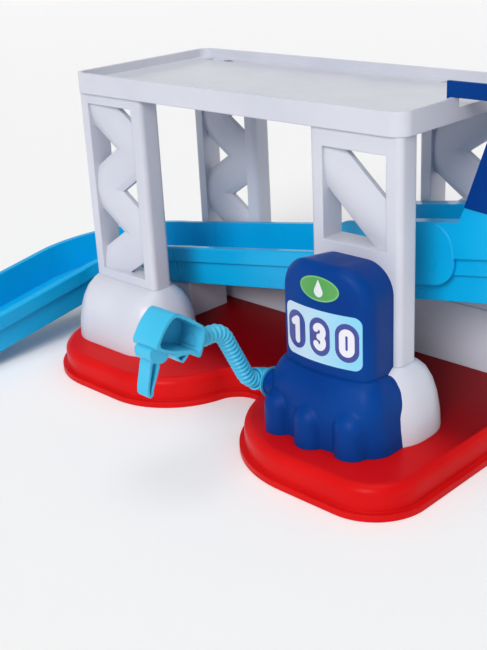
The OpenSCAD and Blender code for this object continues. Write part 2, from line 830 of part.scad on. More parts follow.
module landing() {
    scoop_z = track_z + scoop_x * tn + (run_h + joint_gap + guard_t + scoop_r) / cs;
    color([0.1, 0.58, 0.84]) {
        apron_plate();
        upright(apron_y + cheek_in, land_in0 + scoop_lap) cheek_side(lip_z);
        upright(land_in1 - scoop_lap, far_apron + guard_t) cheek_side(far_lip_z);
        upright(land_in0, land_in1) intersection() {
            translate([scoop_x, scoop_z]) difference() {
                circle(r = scoop_r + guard_t);
                circle(r = scoop_r);
            }
            translate([scoop_x + scoop_r * sn, 0]) square([big, scoop_z]);
        }
    }
}

// side view of the chute walls
module chute_side() {
    z0 = cheek_z + joint_gap;
    dx = (chute_end - z0) * tan(chute_lean);
    polygon([[cheek_x, z0], [land_end, z0 - cheek_fall], [land_end + chute_run, chute_end],
             [cheek_x + dx, chute_end]]);
}

// side view of the chute floor
module chute_floor() {
    z0 = cheek_z - cheek_fall + joint_gap;
    x1 = land_end + chute_run;
    polygon([[land_end - guard_t, z0], [land_end, z0], [x1, chute_end], [x1 - guard_t, chute_end]]);
}

module drop_chute() {
    y0 = apron_y;
    y1 = far_apron + guard_t;
    hook_x = deck_x1 - deck_t - tenon_gap - guard_t;
    color([0.02, 0.2, 0.55]) {
        for (y = [y0, y1 - guard_t]) upright(y, y + guard_t) chute_side();
        upright(y0, y1) chute_floor();
        for (y = [y0, y1 - guard_t]) {
            translate([hook_x, y, curb_top]) cube([hook_len, guard_t, chute_top]);
            translate([hook_x, y, deck_top + joint_gap]) cube([guard_t, guard_t, curb_h]);
        }
    }
}

// pump

// y of the centre of a rounding r behind the bowed face, at x from the middle of the pump
function bow(x, r) = face_y - sqrt((face_r - r) * (face_r - r) - x * x);

// centres of the edge rounding of the pump top, as x from the middle and z
function top_spots() = concat(
    [for (a = [0:15:90]) [pump_w / 2 - pump_top_r + (pump_top_r - pump_r) * cos(a),
                          pump_top - pump_top_r + (pump_top_r - pump_r) * sin(a)]],
    [for (i = [0:1]) [(pump_w / 2 - pump_top_r) * i / 2, pump_top - pump_r]]);

// rounded body of the pump with its bowed face, drawn in by e
module pump_body(e) {
    w = pump_w / 2 - back_in - e;
    k = pump_w / 2 - pump_r;
    hull() {
        for (s = [-1, 1]) for (p = top_spots())
            translate([pump_x + s * p[0], bow(p[0], pump_r), p[1]]) sphere(r = pump_r - e, $fn = ball_fn);
        for (s = [-1, 1])
            translate([pump_x + s * (pump_w / 2 - pump_top_r), pump_back + 2, pump_top - pump_top_r])
                rotate([90, 0, 0]) cylinder(r = pump_top_r - back_in - e, h = 2, $fn = hull_fn);
        for (i = [-spine:spine])
            translate([pump_x + k * i / spine, bow(k * i / spine, pump_r), waist_z - 2])
                cylinder(r = pump_r - e, h = 2, $fn = ball_fn);
        translate([pump_x - w, pump_back, waist_z - 2]) cube([2 * w, 2, 2]);
    }
}

// flared skirt of the pump, drawn in by e
module pump_skirt(e) {
    w = pump_w / 2 - e;
    top = waist_h - e - skirt_slice;
    steps = concat([[floor_z, skirt_out, skirt_front]],
        [for (i = [0:skirt_steps]) let (u = i / skirt_steps, in = pow(u, skirt_bend))
            [floor_z + top * (skirt_from + (1 - skirt_from) * u),
             skirt_out + (skirt_lap - skirt_out) * in, skirt_front + (2 * skirt_lap - skirt_front) * in]]);
    hull() for (s = steps) {
        k = pump_w / 2 + s[1] - skirt_r;
        for (i = [-spine:spine])
            translate([pump_x + k * i / spine, bow(k * i / spine, skirt_r) - s[2], s[0]])
                cylinder(r = skirt_r - e, h = skirt_slice, $fn = hull_fn);
        translate([pump_x - w - s[1], pump_back, s[0]]) cube([2 * (w + s[1]), 2, skirt_slice]);
    }
}

// space kept clear of the bell foot and the tower behind the pump
module behind_pump() {
    translate([-big / 2, pump_back, 0]) cube([big, big, big]);
    translate([fr_x, front_y, floor_z]) bell_dome(bell_h + 2 * joint_gap, -joint_gap);
}

// children at the four pump screws, pointing to the front from y
module at_pump_screws(y) {
    for (s = [-1, 1])
        for (z = pump_screw_z)
            translate([pump_x + s * pump_screw_x, y, z]) rotate([90, 0, 0]) children();
}

module pump_shell() {
    color([0.0, 0.2, 0.55]) difference() {
        union() {
            pump_body(0);
            pump_skirt(0);
            for (i = [0:2])
                translate([lobe_x[i], pump_front - skirt_front + lobe_r - 3 + lobe_in[i], floor_z]) {
                    cylinder(r = lobe_r, h = lobe_h[i]);
                    translate([0, 0, lobe_h[i]]) sphere(r = lobe_r);
                }
            translate([boss_x, hin_y, hin_z]) rotate([0, 90, 0]) cylinder(r = boss_r, h = boss_len);
        }
        difference() {
            union() {
                pump_body(pump_t);
                translate([0, 0, -eps]) pump_skirt(pump_t);
                translate([pump_x0 + throat, pump_back - throat, waist_z - throat])
                    cube([pump_w - 2 * throat, throat, 2 * throat]);
            }
            translate([boss_x, hin_y, hin_z]) rotate([0, 90, 0]) cylinder(r = boss_r, h = boss_len);
            at_pump_screws(pump_back - plate_t) cylinder(r = post_r - 1, h = pump_d);
        }
        behind_pump();
        translate([pump_x - plate_w / 2, pump_back - plate_t, waist_z + pump_t])
            cube([plate_w, plate_t + eps, plate_h]);
        translate([boss_x - eps, hin_y, hin_z]) rotate([0, 90, 0])
            cylinder(r = axle_r + axle_gap, h = boss_len + 2 * eps);
        at_pump_screws(pump_back - plate_t) screw_hole(bite);
        label_cut();
    }
}

// recess of the display and the badge in the pump face
module label_cut() {
    bowed(label_z, 1) rounded(label_w, label_h, label_r);
    bowed(badge_z, 1) badge_shape(0);
}

// flat shape laid on the bowed pump face with its middle at z: label_t deep, standing out by over
module bowed(z, over) {
    intersection() {
        translate([label_x, pump_front - 2 * over - 1, z]) rotate([-90, 0, 0]) linear_extrude(height = pump_d)
            children();
        translate([pump_x, face_y, z - label_h]) difference() {
            cylinder(r = face_r + over, h = 2 * label_h);
            translate([0, 0, -1]) cylinder(r = face_r - label_t, h = 2 * label_h + 2);
        }
    }
}

// oval of the badge from two wide arcs and two round ends, drawn in by e
module badge_shape(e) {
    a = badge_w / 2 - e;
    b = badge_h / 2 - e;
    r = (a * a + b * b) / (2 * b);
    intersection() {
        translate([0, r - b]) circle(r = r);
        translate([0, b - r]) circle(r = r);
        square([2 * a - 3, 2 * b], center = true);
    }
}

module pump_back() {
    color([0.0, 0.16, 0.48]) difference() {
        translate([pump_x - plate_w / 2 + tenon_gap, pump_back - plate_t, waist_z + pump_t + tenon_gap])
            cube([plate_w - 2 * tenon_gap, plate_t, plate_h - 2 * tenon_gap]);
        at_pump_screws(pump_back) screw_hole(plate_t);
    }
}

module pump_badge() {
    color([0.35, 0.62, 0.33]) bowed(badge_z, 0) badge_shape(tenon_gap);
}

module pump_display() {
    color([0.66, 0.85, 0.93]) bowed(label_z, 0)
        rounded(label_w - 2 * tenon_gap, label_h - 2 * tenon_gap, label_r - tenon_gap);
}

// hose arm

// half section of the hose socket with its rounded closed end at the bottom
module knob_side() {
    r = sock_r - knob_r;
    translate([0, knob_r]) square([sock_r, knob + sock_len - knob_r]);
    square([r, knob_r]);
    translate([r, knob_r]) intersection() {
        circle(r = knob_r);
        translate([0, -knob_r]) square(knob_r);
    }
}

// places things along the axis of the hose socket, at t from the hinge
module at_socket(t) {
    translate([arm_x, hin_y, hin_z]) rotate([90 - dip2, 0, 0]) translate([0, 0, t]) children();
}

module hose_hub() {
    color([0.3, 0.74, 0.94]) difference() {
        union() {
            translate([arm_x, hin_y, hin_z]) rotate([0, 90, 0])
                cylinder(r1 = sock_r - 1, r2 = hub_r, h = hub_x - arm_x);
            at_socket(-knob) rotate_extrude() knob_side();
            translate([hub_x - 1, hin_y, hin_z]) rotate([0, 90, 0])
                cylinder(r = axle_r, h = boss_len + hub_gap + 1 + end_play);
        }
        at_socket(sock_len - sock_depth) cylinder(r = hose_r + tenon_gap, h = sock_out + sock_depth);
        at_socket(sock_len - sock_depth - 3) cylinder(r = hose_bore, h = sock_out + sock_depth);
        translate([hub_x + boss_len - pilot_len, hin_y, hin_z]) rotate([0, 90, 0])
            cylinder(r = pilot_r + screw_gap, h = big);
    }
}

// hose centre line measured back from the nozzle: straight, bend, straight, bend, straight
bend_a = (dip1 - dip0) * PI / 180 * bend_r;
bend_b = (dip1 - dip2) * PI / 180 * bend_r;
hose_len = lead0 + bend_a + mid_run + bend_b + lead1;
function hose_dip(s) = s < lead0 ? dip0
    : s < lead0 + bend_a ? dip0 + (dip1 - dip0) * (s - lead0) / bend_a
    : s < lead0 + bend_a + mid_run ? dip1
    : s < hose_len - lead1 ? dip2 + (dip1 - dip2) * (hose_len - lead1 - s) / bend_b
    : dip2;
rise_y = lead0 * cos(dip0) + bend_r * (2 * sin(dip1) - sin(dip0) - sin(dip2)) + mid_run * cos(dip1)
    + lead1 * cos(dip2);
rise_z = lead0 * sin(dip0) + bend_r * (cos(dip0) + cos(dip2) - 2 * cos(dip1)) + mid_run * sin(dip1)
    + lead1 * sin(dip2);
hose_in = sock_len - sock_depth + tenon_gap;
end_y = hin_y - hose_in * cos(dip2);
end_z = hin_z + hose_in * sin(dip2);
noz_y = end_y - rise_y;
noz_z = end_z + rise_z;
// point of the centre line at s from the nozzle, as y and z
function hose_pt(s) = s < lead0 ? [noz_y + s * cos(dip0), noz_z - s * sin(dip0)]
    : s < lead0 + bend_a ? let (p = hose_pt(lead0 - eps), d = hose_dip(s))
        [p[0] + bend_r * (sin(d) - sin(dip0)), p[1] - bend_r * (cos(dip0) - cos(d))]
    : s < lead0 + bend_a + mid_run ? let (p = hose_pt(lead0 + bend_a - eps), q = s - lead0 - bend_a)
        [p[0] + q * cos(dip1), p[1] - q * sin(dip1)]
    : s < hose_len - lead1 ? let (p = hose_pt(lead0 + bend_a + mid_run - eps), d = hose_dip(s))
        [p[0] + bend_r * (sin(dip1) - sin(d)), p[1] - bend_r * (cos(d) - cos(dip1))]
    : let (q = hose_len - s) [end_y - q * cos(dip2), end_z + q * sin(dip2)];
// ring of points round the centre line, turned by a share of one side
function hose_ring(s, r, turn) = let (p = hose_pt(s), d = hose_dip(s))
    [for (i = [0:hose_sides - 1]) let (t = 360 * (i + turn) / hose_sides)
        [arm_x + r * cos(t), p[0] + r * sin(t) * sin(d), p[1] + r * sin(t) * cos(d)]];
// radius of the ribbed outside at step i of n
function rib_radius(i, n) = i < 2 || i > n - 2 ? hose_r - rib_depth / 2
    : hose_r - rib_depth * (i % per_rib < per_rib / 2 ? 0 : 1);

module fuel_hose() {
    n = ribs * per_rib;
    m = bore_steps;
    cap = [[for (i = [0:hose_sides - 1]) i]];
    color([0.3, 0.72, 0.93]) difference() {
        loft([for (i = [0:n]) hose_ring(hose_len * i / n, rib_radius(i, n), 0)], cap);
        loft([for (i = [0:m])
            hose_ring((hose_len + 2 * bore_out) * i / m - bore_out, hose_bore, bore_turn)], cap);
    }
}

// side views of the nozzle, y forward is negative, measured from the middle of its hose end
spout_in = 2;
grip_in = 2;
ease = 4;
ease_max = 0.45;
ease_n = 4;
spout_w = 9;
heel_w = 13;
noz_body = [[6.1, 10.2], [-5.9, 19.8], [-17.2, 27.4], [-26, 20.8], [-33.8, 9.8],
    [-21.5, 3], [-6.9, -1], [-0.6, -7]];
noz_chin = [[-7, 1], [-13.2, -4.3], [-15, -4.3], [-21.5, 3]];
noz_chin_in = [[-9.6, -0.8], [-13.4, -2.9], [-14.8, -2.9], [-18.2, 0.6]];
noz_heel = [[-34.6, 10], [-34.8, 2.6], [-28.5, -1.6], [-22, -0.8], [-21, 7]];
noz_spout = [[-32.5, 3], [-35.1, -8], [-36.8, -14], [-37, -18.3], [-35.2, -20.5], [-32.8, -19.3],
    [-32.3, -15.2], [-29.3, -9.8], [-25, 0]];
noz_spout_in = [[-31.3, 0.8], [-33.6, -8.2], [-35.1, -14.2], [-35.2, -18], [-34.3, -18.4],
    [-33.7, -15.6], [-30.6, -10.3], [-27.5, -1.8]];

// unit vector from a to b turned left, and an outline drawn in by e on every side
function left_of(a, b) = [a[1] - b[1], b[0] - a[0]] / norm(b - a);
function inset(line, e) = [for (i = [0:len(line) - 1])
    let (v = line[i], a = left_of(line[(i + len(line) - 1) % len(line)], v),
         b = left_of(v, line[(i + 1) % len(line)]))
    v + e * (a + b) / (1 + a * b)];

// outline with its corners eased over a length d, or over nearly half of a shorter side
function eased(line, d) = [for (i = [0:len(line) - 1])
    let (v = line[i], p = line[(i + len(line) - 1) % len(line)] - v, n = line[(i + 1) % len(line)] - v,
         a = v + p * min(d / norm(p), ease_max), b = v + n * min(d / norm(n), ease_max))
    for (t = [0:1 / ease_n:1]) (1 - t) * (1 - t) * a + 2 * t * (1 - t) * v + t * t * b];

// slab with an eased side view as its outline, w wide from x
module side_slab(x, w, outline) {
    translate([x, 0, 0]) rotate([90, 0, 90]) linear_extrude(height = w) polygon(eased(outline, ease));
}

module nozzle() {
    x0 = arm_x - nozzle_w / 2;
    color([0.3, 0.74, 0.94]) translate([0, noz_y, noz_z]) difference() {
        union() {
            side_slab(x0, nozzle_w, noz_body);
            side_slab(x0, nozzle_w, noz_chin);
            side_slab(arm_x - heel_w / 2, heel_w, noz_heel);
            side_slab(arm_x - spout_w / 2, spout_w, noz_spout);
        }
        side_slab(x0 + nozzle_t, big, inset(noz_body, nozzle_t));
        side_slab(x0 + nozzle_t + grip_in, big, noz_chin_in);
        side_slab(arm_x + spout_in / 2, big, noz_spout_in);
        translate([arm_x, -tenon_gap, 0]) rotate([-90 - dip0, 0, 0])
            cylinder(r = hose_r + tenon_gap, h = lead0);
    }
}

module pivot_washer() {
    color([0.75, 0.76, 0.78]) translate([axle_end, hin_y, hin_z]) rotate([0, 90, 0]) difference() {
        cylinder(r = washer_r, h = washer_t);
        translate([0, 0, -eps]) cylinder(r = pilot_r + screw_gap, h = washer_t + 2 * eps);
    }
}

module pivot_screw() {
    color([0.75, 0.76, 0.78]) translate([axle_end + washer_t, hin_y, hin_z]) rotate([0, 90, 0]) {
        cylinder(r = head_r, h = head_h);
        translate([0, 0, -washer_t - pilot_len + 1])
            cylinder(r = pilot_r, h = washer_t + pilot_len - 1 + eps);
    }
}

// screws

module base_screws() {
    color([0.75, 0.76, 0.78]) for (p = base_screw_spots())
        translate([p[0], p[1], head_z]) screw(base_h - head_z + bite - 1);
}

module deck_screws() {
    color([0.75, 0.76, 0.78]) for (x = [fl_x, fr_x]) for (y = [front_y, rear_y])
        translate([x, y, deck_top - head_h - tenon_gap]) rotate([180, 0, 0]) screw(bite);
}

module pump_screws() {
    color([0.75, 0.76, 0.78]) at_pump_screws(front_y + tower_d / 2 - web_t)
        screw(tower_d - web_t + plate_t + bite - 4);
}

module track_screws() {
    color([0.75, 0.76, 0.78]) for (x = [fl_x, fr_x])
        translate([x + lug_x, rear_y + tower_d / 2, lug_height(x + lug_x) + foot_z]) rotate([90, 0, 0])
            screw(tower_d + track_bite);
}

base_plate();
bell_foot_left();
bell_foot_right();
rear_plinth();
tower_front_left();
tower_front_right();
tower_rear_left();
tower_rear_right();
upper_deck();
centre_track();
track_leg();
exit_ramp();
landing();
drop_chute();
pump_shell();
pump_back();
pump_badge();
pump_display();
hose_hub();
fuel_hose();
nozzle();
pivot_washer();
pivot_screw();
base_screws();
deck_screws();
pump_screws();
track_screws();
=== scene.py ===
"""Looks of a toy race track storey with a fuel pump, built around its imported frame.

Lengths in the classes are millimetres unless a name says otherwise; meshes are made in metres.
"""

from __future__ import annotations

import json
import logging
import math
from dataclasses import dataclass
from enum import Enum
from typing import Any, Iterable, Sequence

import bmesh
import bpy
from mathutils import Matrix, Vector

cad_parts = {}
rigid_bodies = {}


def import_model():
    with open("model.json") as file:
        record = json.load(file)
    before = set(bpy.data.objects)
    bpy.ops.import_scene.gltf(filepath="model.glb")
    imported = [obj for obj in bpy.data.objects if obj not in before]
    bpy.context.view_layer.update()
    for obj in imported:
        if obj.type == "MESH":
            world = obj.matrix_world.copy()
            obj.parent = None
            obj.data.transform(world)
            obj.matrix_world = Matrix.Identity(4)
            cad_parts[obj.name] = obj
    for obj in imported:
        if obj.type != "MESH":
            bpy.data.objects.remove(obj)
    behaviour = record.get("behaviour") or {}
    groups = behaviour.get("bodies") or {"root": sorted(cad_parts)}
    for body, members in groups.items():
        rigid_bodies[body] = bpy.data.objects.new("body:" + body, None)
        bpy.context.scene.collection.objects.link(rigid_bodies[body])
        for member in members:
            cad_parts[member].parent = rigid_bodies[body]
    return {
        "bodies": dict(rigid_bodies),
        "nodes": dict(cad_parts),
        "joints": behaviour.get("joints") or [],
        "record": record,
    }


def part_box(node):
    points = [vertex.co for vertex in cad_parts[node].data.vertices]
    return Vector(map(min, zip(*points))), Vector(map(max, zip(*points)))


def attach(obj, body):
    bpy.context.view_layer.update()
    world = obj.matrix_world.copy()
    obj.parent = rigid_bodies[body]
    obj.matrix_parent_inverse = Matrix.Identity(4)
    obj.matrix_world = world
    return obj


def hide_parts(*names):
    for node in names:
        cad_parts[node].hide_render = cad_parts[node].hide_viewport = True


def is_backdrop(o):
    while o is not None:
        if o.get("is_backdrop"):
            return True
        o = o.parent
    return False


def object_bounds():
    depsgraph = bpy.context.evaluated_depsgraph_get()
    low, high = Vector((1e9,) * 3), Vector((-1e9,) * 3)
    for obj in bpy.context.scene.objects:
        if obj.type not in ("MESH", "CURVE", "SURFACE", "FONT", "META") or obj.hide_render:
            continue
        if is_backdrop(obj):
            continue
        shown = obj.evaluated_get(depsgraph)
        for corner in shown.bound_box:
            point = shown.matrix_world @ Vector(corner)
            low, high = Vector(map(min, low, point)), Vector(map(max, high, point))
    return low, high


LOG = logging.getLogger("race_track")
MM = 0.001
# edges of a modelled piece that bend more than this many degrees stay sharp
SHARP = 35.0
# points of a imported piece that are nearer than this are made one
WELD = 0.002

Colour = tuple[float, float, float, float]
Point2 = tuple[float, float]
Point3 = tuple[float, float, float]
Faces = list[list[Point2]]
Shape = bmesh.types.BMesh


def paint(red: float, green: float, blue: float) -> Colour:
    """Turns a colour as seen on a screen into the linear one that shaders take.

    Args:
        red: Red from 0 to 255.
        green: Green from 0 to 255.
        blue: Blue from 0 to 255.

    Returns:
        The linear colour with full alpha.
    """
    parts = [c / 255 for c in (red, green, blue)]
    linear = [c / 12.92 if c <= 0.04045 else ((c + 0.055) / 1.055) ** 2.4 for c in parts]
    return (linear[0], linear[1], linear[2], 1.0)


def mesh_of(name: str, shape: Shape) -> bpy.types.Mesh:
    """Turns a shape into a mesh.

    Args:
        name: Name of the mesh.
        shape: The shape, in metres; it is freed here.

    Returns:
        The mesh.
    """
    mesh = bpy.data.meshes.new(name)
    shape.to_mesh(mesh)
    shape.free()
    return mesh


def stand(name: str, data: bpy.types.ID) -> bpy.types.Object:
    """Puts a mesh, a light or a camera into the scene.

    Args:
        name: Name of the object.
        data: What it shows.

    Returns:
        The object.
    """
    placed = bpy.data.objects.new(name, data)
    bpy.context.scene.collection.objects.link(placed)
    return placed


def join_rings(shape: Shape, rings: Sequence[Sequence[bmesh.types.BMVert]]) -> None:
    """Lays faces from each closed ring of points to the next.

    Args:
        shape: The shape that holds the points.
        rings: The rings, all of as many points.
    """
    for first, second in zip(rings, rings[1:]):
        for k, point in enumerate(first):
            shape.faces.new((first[k - 1], point, second[k], second[k - 1]))


class Value:
    """A shader socket that takes part in sums; each sum adds its Math node."""

    def __init__(self, shader: Shader, socket: bpy.types.NodeSocket) -> None:
        """Keeps an output socket and the shader that owns it."""
        self.shader = shader
        self.socket = socket

    def _sum(self, operation: str, first: Any, second: Any) -> Value:
        """Result of a new Math node on two numbers or values."""
        made = self.shader.node("ShaderNodeMath", {"operation": operation}, {0: first, 1: second})
        return Value(self.shader, made.outputs[0])

    def __add__(self, other: Any) -> Value:
        """This plus other."""
        return self._sum("ADD", self, other)

    def __radd__(self, other: Any) -> Value:
        """Other plus this."""
        return self._sum("ADD", other, self)

    def __sub__(self, other: Any) -> Value:
        """This minus other."""
        return self._sum("SUBTRACT", self, other)

    def __rsub__(self, other: Any) -> Value:
        """Other minus this."""
        return self._sum("SUBTRACT", other, self)

    def __mul__(self, other: Any) -> Value:
        """This times other."""
        return self._sum("MULTIPLY", self, other)

    def __rmul__(self, other: Any) -> Value:
        """Other times this."""
        return self._sum("MULTIPLY", other, self)

    def between(self, low: float, high: float) -> Value:
        """Rises smoothly from 0 to 1 as this goes from low to high.

        Args:
            low: Where the result is still 0.
            high: Where the result reaches 1.

        Returns:
            The smooth step.
        """
        made = self.shader.node(
            "ShaderNodeMapRange",
            {"interpolation_type": "SMOOTHSTEP"},
            {"Value": self, "From Min": low, "From Max": high},
        )
        return Value(self.shader, made.outputs[0])


class Shader:
    """A new material with one Principled surface, and the calls that add nodes to it."""

    def __init__(self, name: str) -> None:
        """Makes the material.

        Args:
            name: Name of the material.
        """
        self.material = bpy.data.materials.new(name)
        self.material.use_nodes = True
        self.tree = self.material.node_tree
        self.tree.nodes.clear()
        self.surface = self.node("ShaderNodeBsdfPrincipled")
        self.node("ShaderNodeOutputMaterial", inputs={"Surface": self.surface.outputs[0]})
        self.place = self.node("ShaderNodeTexCoord").outputs["Object"]

    def node(
        self,
        kind: str,
        settings: dict[str, Any] | None = None,
        inputs: dict[str | int, Any] | None = None,
    ) -> bpy.types.Node:
        """Adds a node of any kind.

        Args:
            kind: Blender's name of the node's type.
            settings: Settings of the node, set first.
            inputs: Values or links of its sockets, by name or number.

        Returns:
            The new node.
        """
        made = self.tree.nodes.new(kind)
        for key, setting in (settings or {}).items():
            setattr(made, key, setting)
        for key, given in (inputs or {}).items():
            self.feed(made.inputs[key], given)
        return made

    def feed(self, socket: bpy.types.NodeSocket, given: Any) -> None:
        """Links a socket to what is given, or sets its number.

        Args:
            socket: The input socket.
            given: A value, an output socket, a number or a colour.
        """
        if isinstance(given, Value):
            given = given.socket
        if isinstance(given, bpy.types.NodeSocket):
            self.tree.links.new(given, socket)
        else:
            socket.default_value = given

    def noise(self, scale: float, detail: float = 2.0) -> Value:
        """Soft noise over the surface.

        Args:
            scale: Bumps per metre.
            detail: How many finer layers it has.

        Returns:
            Noise from 0 to 1.
        """
        made = self.node(
            "ShaderNodeTexNoise", {}, {"Vector": self.place, "Scale": scale, "Detail": detail}
        )
        return Value(self, made.outputs[0])

    def along(self, axis: str) -> Value:
        """A coordinate of the surface point in metres; axis is X, Y or Z."""
        return Value(self, self.node("ShaderNodeSeparateXYZ", {}, {0: self.place}).outputs[axis])

    def mix(self, share: Any, first: Any, second: Any) -> Value:
        """Two colours, mixed by the share of the second one."""
        made = self.node("ShaderNodeMix", {"data_type": "RGBA"}, {0: share, 6: first, 7: second})
        return Value(self, made.outputs[2])

    def set(self, **inputs: Any) -> None:
        """Sets the surface's sockets; an underscore in a name stands for a space."""
        for key, given in inputs.items():
            self.feed(self.surface.inputs[key.replace("_", " ")], given)


class Finish:
    """Base of the finishes: a finish makes its material once and hands out the same one."""

    name: str
    _made: dict[str, bpy.types.Material] = {}

    def material(self) -> bpy.types.Material:
        """The material of this finish.

        Returns:
            The one material that all its pieces share.
        """
        if self.name not in Finish._made:
            shader = Shader(self.name)
            self.fill(shader)
            Finish._made[self.name] = shader.material
        return Finish._made[self.name]

    def fill(self, shader: Shader) -> None:
        """Adds the finish to a new shader; each finish has its own way."""
        raise NotImplementedError


@dataclass(frozen=True)
class Moulded(Finish):
    """Moulded plastic: slow colour drift, fine grain, soft edges that are rubbed paler.

    Attributes:
        name: Name of the material.
        colour: Main colour.
        shade: Colour that it drifts towards.
        worn: Colour of rubbed edges.
        roughness: Mean roughness.
        edge: Radius of the softened edges.
        grain: Depth of the fine grain.
        coat: Strength of the clear gloss.
        wear: How much the rubbed colour shows.
        glow: Strength of the light that goes a little way into the plastic.
        shine: Strength of its reflections.
        drift: Bumps per metre of the colour drift.
        smear: Bumps per metre of the smears.
        speck: Bumps per metre of the grain.
    """

    name: str
    colour: Colour
    shade: Colour
    worn: Colour
    roughness: float = 0.32
    edge: float = 1.0
    grain: float = 0.012
    coat: float = 0.08
    wear: float = 0.35
    glow: float = 0.0
    shine: float = 0.35
    drift: float = 16.0
    smear: float = 75.0
    speck: float = 2400.0

    def fill(self, shader: Shader) -> None:
        """Makes the plastic.

        Args:
            shader: The shader of its material.
        """
        drift = shader.noise(self.drift)
        smear = shader.noise(self.smear, 4.0)
        speck = shader.noise(self.speck, 3.0)
        soft = shader.node("ShaderNodeBevel", {"samples": 4}, {"Radius": self.edge * MM}).outputs[0]
        flat = shader.node("ShaderNodeNewGeometry").outputs["Normal"]
        turned = shader.node("ShaderNodeVectorMath", {"operation": "DOT_PRODUCT"}, {0: soft, 1: flat})
        rub = (1 - Value(shader, turned.outputs["Value"])).between(0.02, 0.35)
        # tint adds each plastic's extra colours; on the red shell it is painted shade on the floor
        colour = self.tint(shader, shader.mix(drift.between(0.3, 0.75), self.colour, self.shade))
        colour = shader.mix(rub * smear * self.wear, colour, self.worn)
        rough = self.roughness + (smear - 0.5) * 0.16 + (speck - 0.5) * 0.06 + rub * 0.1
        bump = shader.node(
            "ShaderNodeBump",
            {},
            {"Strength": 0.6, "Distance": self.grain * MM, "Height": speck + smear * 0.8, "Normal": soft},
        )
        shader.set(Base_Color=colour, Roughness=rough, Normal=bump.outputs[0])
        shader.set(Coat_Weight=self.coat, Coat_Roughness=0.12, IOR=1.46, Specular_IOR_Level=self.shine)
        shader.set(Subsurface_Weight=self.glow, Subsurface_Scale=2 * MM)

    def tint(self, shader: Shader, colour: Value) -> Value:
        """Colours, and on the red shell painted shade, that a kind of plastic adds over its main colour."""
        return colour


@dataclass(frozen=True)
class BaseShell(Moulded):
    """Red shell plastic with a glossy floor inside its rim, darkened towards the back by painted shade where
    the storeys above shade it.

    Attributes:
        painted_floor_shade: Colour of the painted shade on the floor.
        floor: Height of the floor.
        rim: Where the painted shade on the floor starts and is full, behind the front edge.
        fade: How far below the floor the painted shade starts and is full.
    """

    painted_floor_shade: Colour = (0.1, 0.0, 0.0, 1.0)
    floor: float = 20.0
    rim: Point2 = (-62.0, -12.0)
    fade: Point2 = (0.6, 0.1)

    def tint(self, shader: Shader, colour: Value) -> Value:
        """Paints shade on the floor: darkens its colour towards the back, where the storeys above shade it.

        Args:
            shader: The shader that is being built.
            colour: Main colour.

        Returns:
            The colour with the painted shade on its floor.
        """
        # painted shade: darkens the floor towards the back, where the storeys above shade it
        top = shader.along("Z").between(*((self.floor - depth) * MM for depth in self.fade))
        back = shader.along("Y").between(self.rim[0] * MM, self.rim[1] * MM)
        return shader.mix(top * back, colour, self.painted_floor_shade)


@dataclass(frozen=True)
class Film(Finish):
    """Printed film of the display: a soft change of colour from one end to the other.

    Attributes:
        name: Name of the material.
        pale: Colour at the left end.
        strong: Colour at the right end.
        ends: Left and right end.
        dots: Print dots per metre.
        smear: Bumps per metre of the smears.
    """

    name: str
    pale: Colour
    strong: Colour
    ends: Point2
    dots: float = 5200.0
    smear: float = 120.0

    def fill(self, shader: Shader) -> None:
        """Makes the film.

        Args:
            shader: The shader of its material.
        """
        across = shader.along("X").between(self.ends[0] * MM, self.ends[1] * MM)
        dots = shader.noise(self.dots, 1.0)
        smear = shader.noise(self.smear, 4.0)
        colour = shader.mix(across, self.pale, self.strong)
        colour = shader.mix(dots * 0.1, colour, paint(245, 250, 252))
        bump = shader.node("ShaderNodeBump", {}, {"Strength": 0.3, "Distance": 0.01 * MM, "Height": smear})
        shader.set(Base_Color=colour, Roughness=0.24 + smear * 0.14, Normal=bump.outputs[0])
        shader.set(Coat_Weight=0.4, Coat_Roughness=0.08)


@dataclass(frozen=True)
class Ink(Finish):
    """Flat printed colour with a fine grain of the print.

    Attributes:
        name: Name of the material.
        colour: Colour of the print.
        thin: Colour where the print is thin.
        dots: Print dots per metre.
        smear: Bumps per metre of the smears.
    """

    name: str
    colour: Colour
    thin: Colour
    dots: float = 4200.0
    smear: float = 160.0

    def fill(self, shader: Shader) -> None:
        """Makes the print.

        Args:
            shader: The shader of its material.
        """
        dots = shader.noise(self.dots, 2.0)
        smear = shader.noise(self.smear, 3.0)
        bump = shader.node("ShaderNodeBump", {}, {"Strength": 0.25, "Distance": 0.006 * MM, "Height": dots})
        shader.set(Base_Color=shader.mix(dots.between(0.45, 0.8) * 0.35, self.colour, self.thin))
        shader.set(Roughness=0.3 + smear * 0.12, Normal=bump.outputs[0], Coat_Weight=0.3)


@dataclass(frozen=True)
class Steel(Finish):
    """Plated steel of the screws, with fine turning marks.

    Attributes:
        name: Name of the material.
        colour: Colour of the plating.
        worn: Colour where it is dull.
        marks: Turning marks per metre.
        dull: Dull spots per metre.
    """

    name: str
    colour: Colour
    worn: Colour
    marks: float = 1800.0
    dull: float = 220.0

    def fill(self, shader: Shader) -> None:
        """Makes the steel.

        Args:
            shader: The shader of its material.
        """
        marks = shader.noise(self.marks, 4.0)
        dull = shader.noise(self.dull, 3.0)
        bump = shader.node("ShaderNodeBump", {}, {"Strength": 0.4, "Distance": 0.01 * MM, "Height": marks})
        shader.set(Base_Color=shader.mix(dull * 0.5, self.colour, self.worn))
        shader.set(Metallic=1.0, Roughness=0.28 + dull * 0.2, Normal=bump.outputs[0])


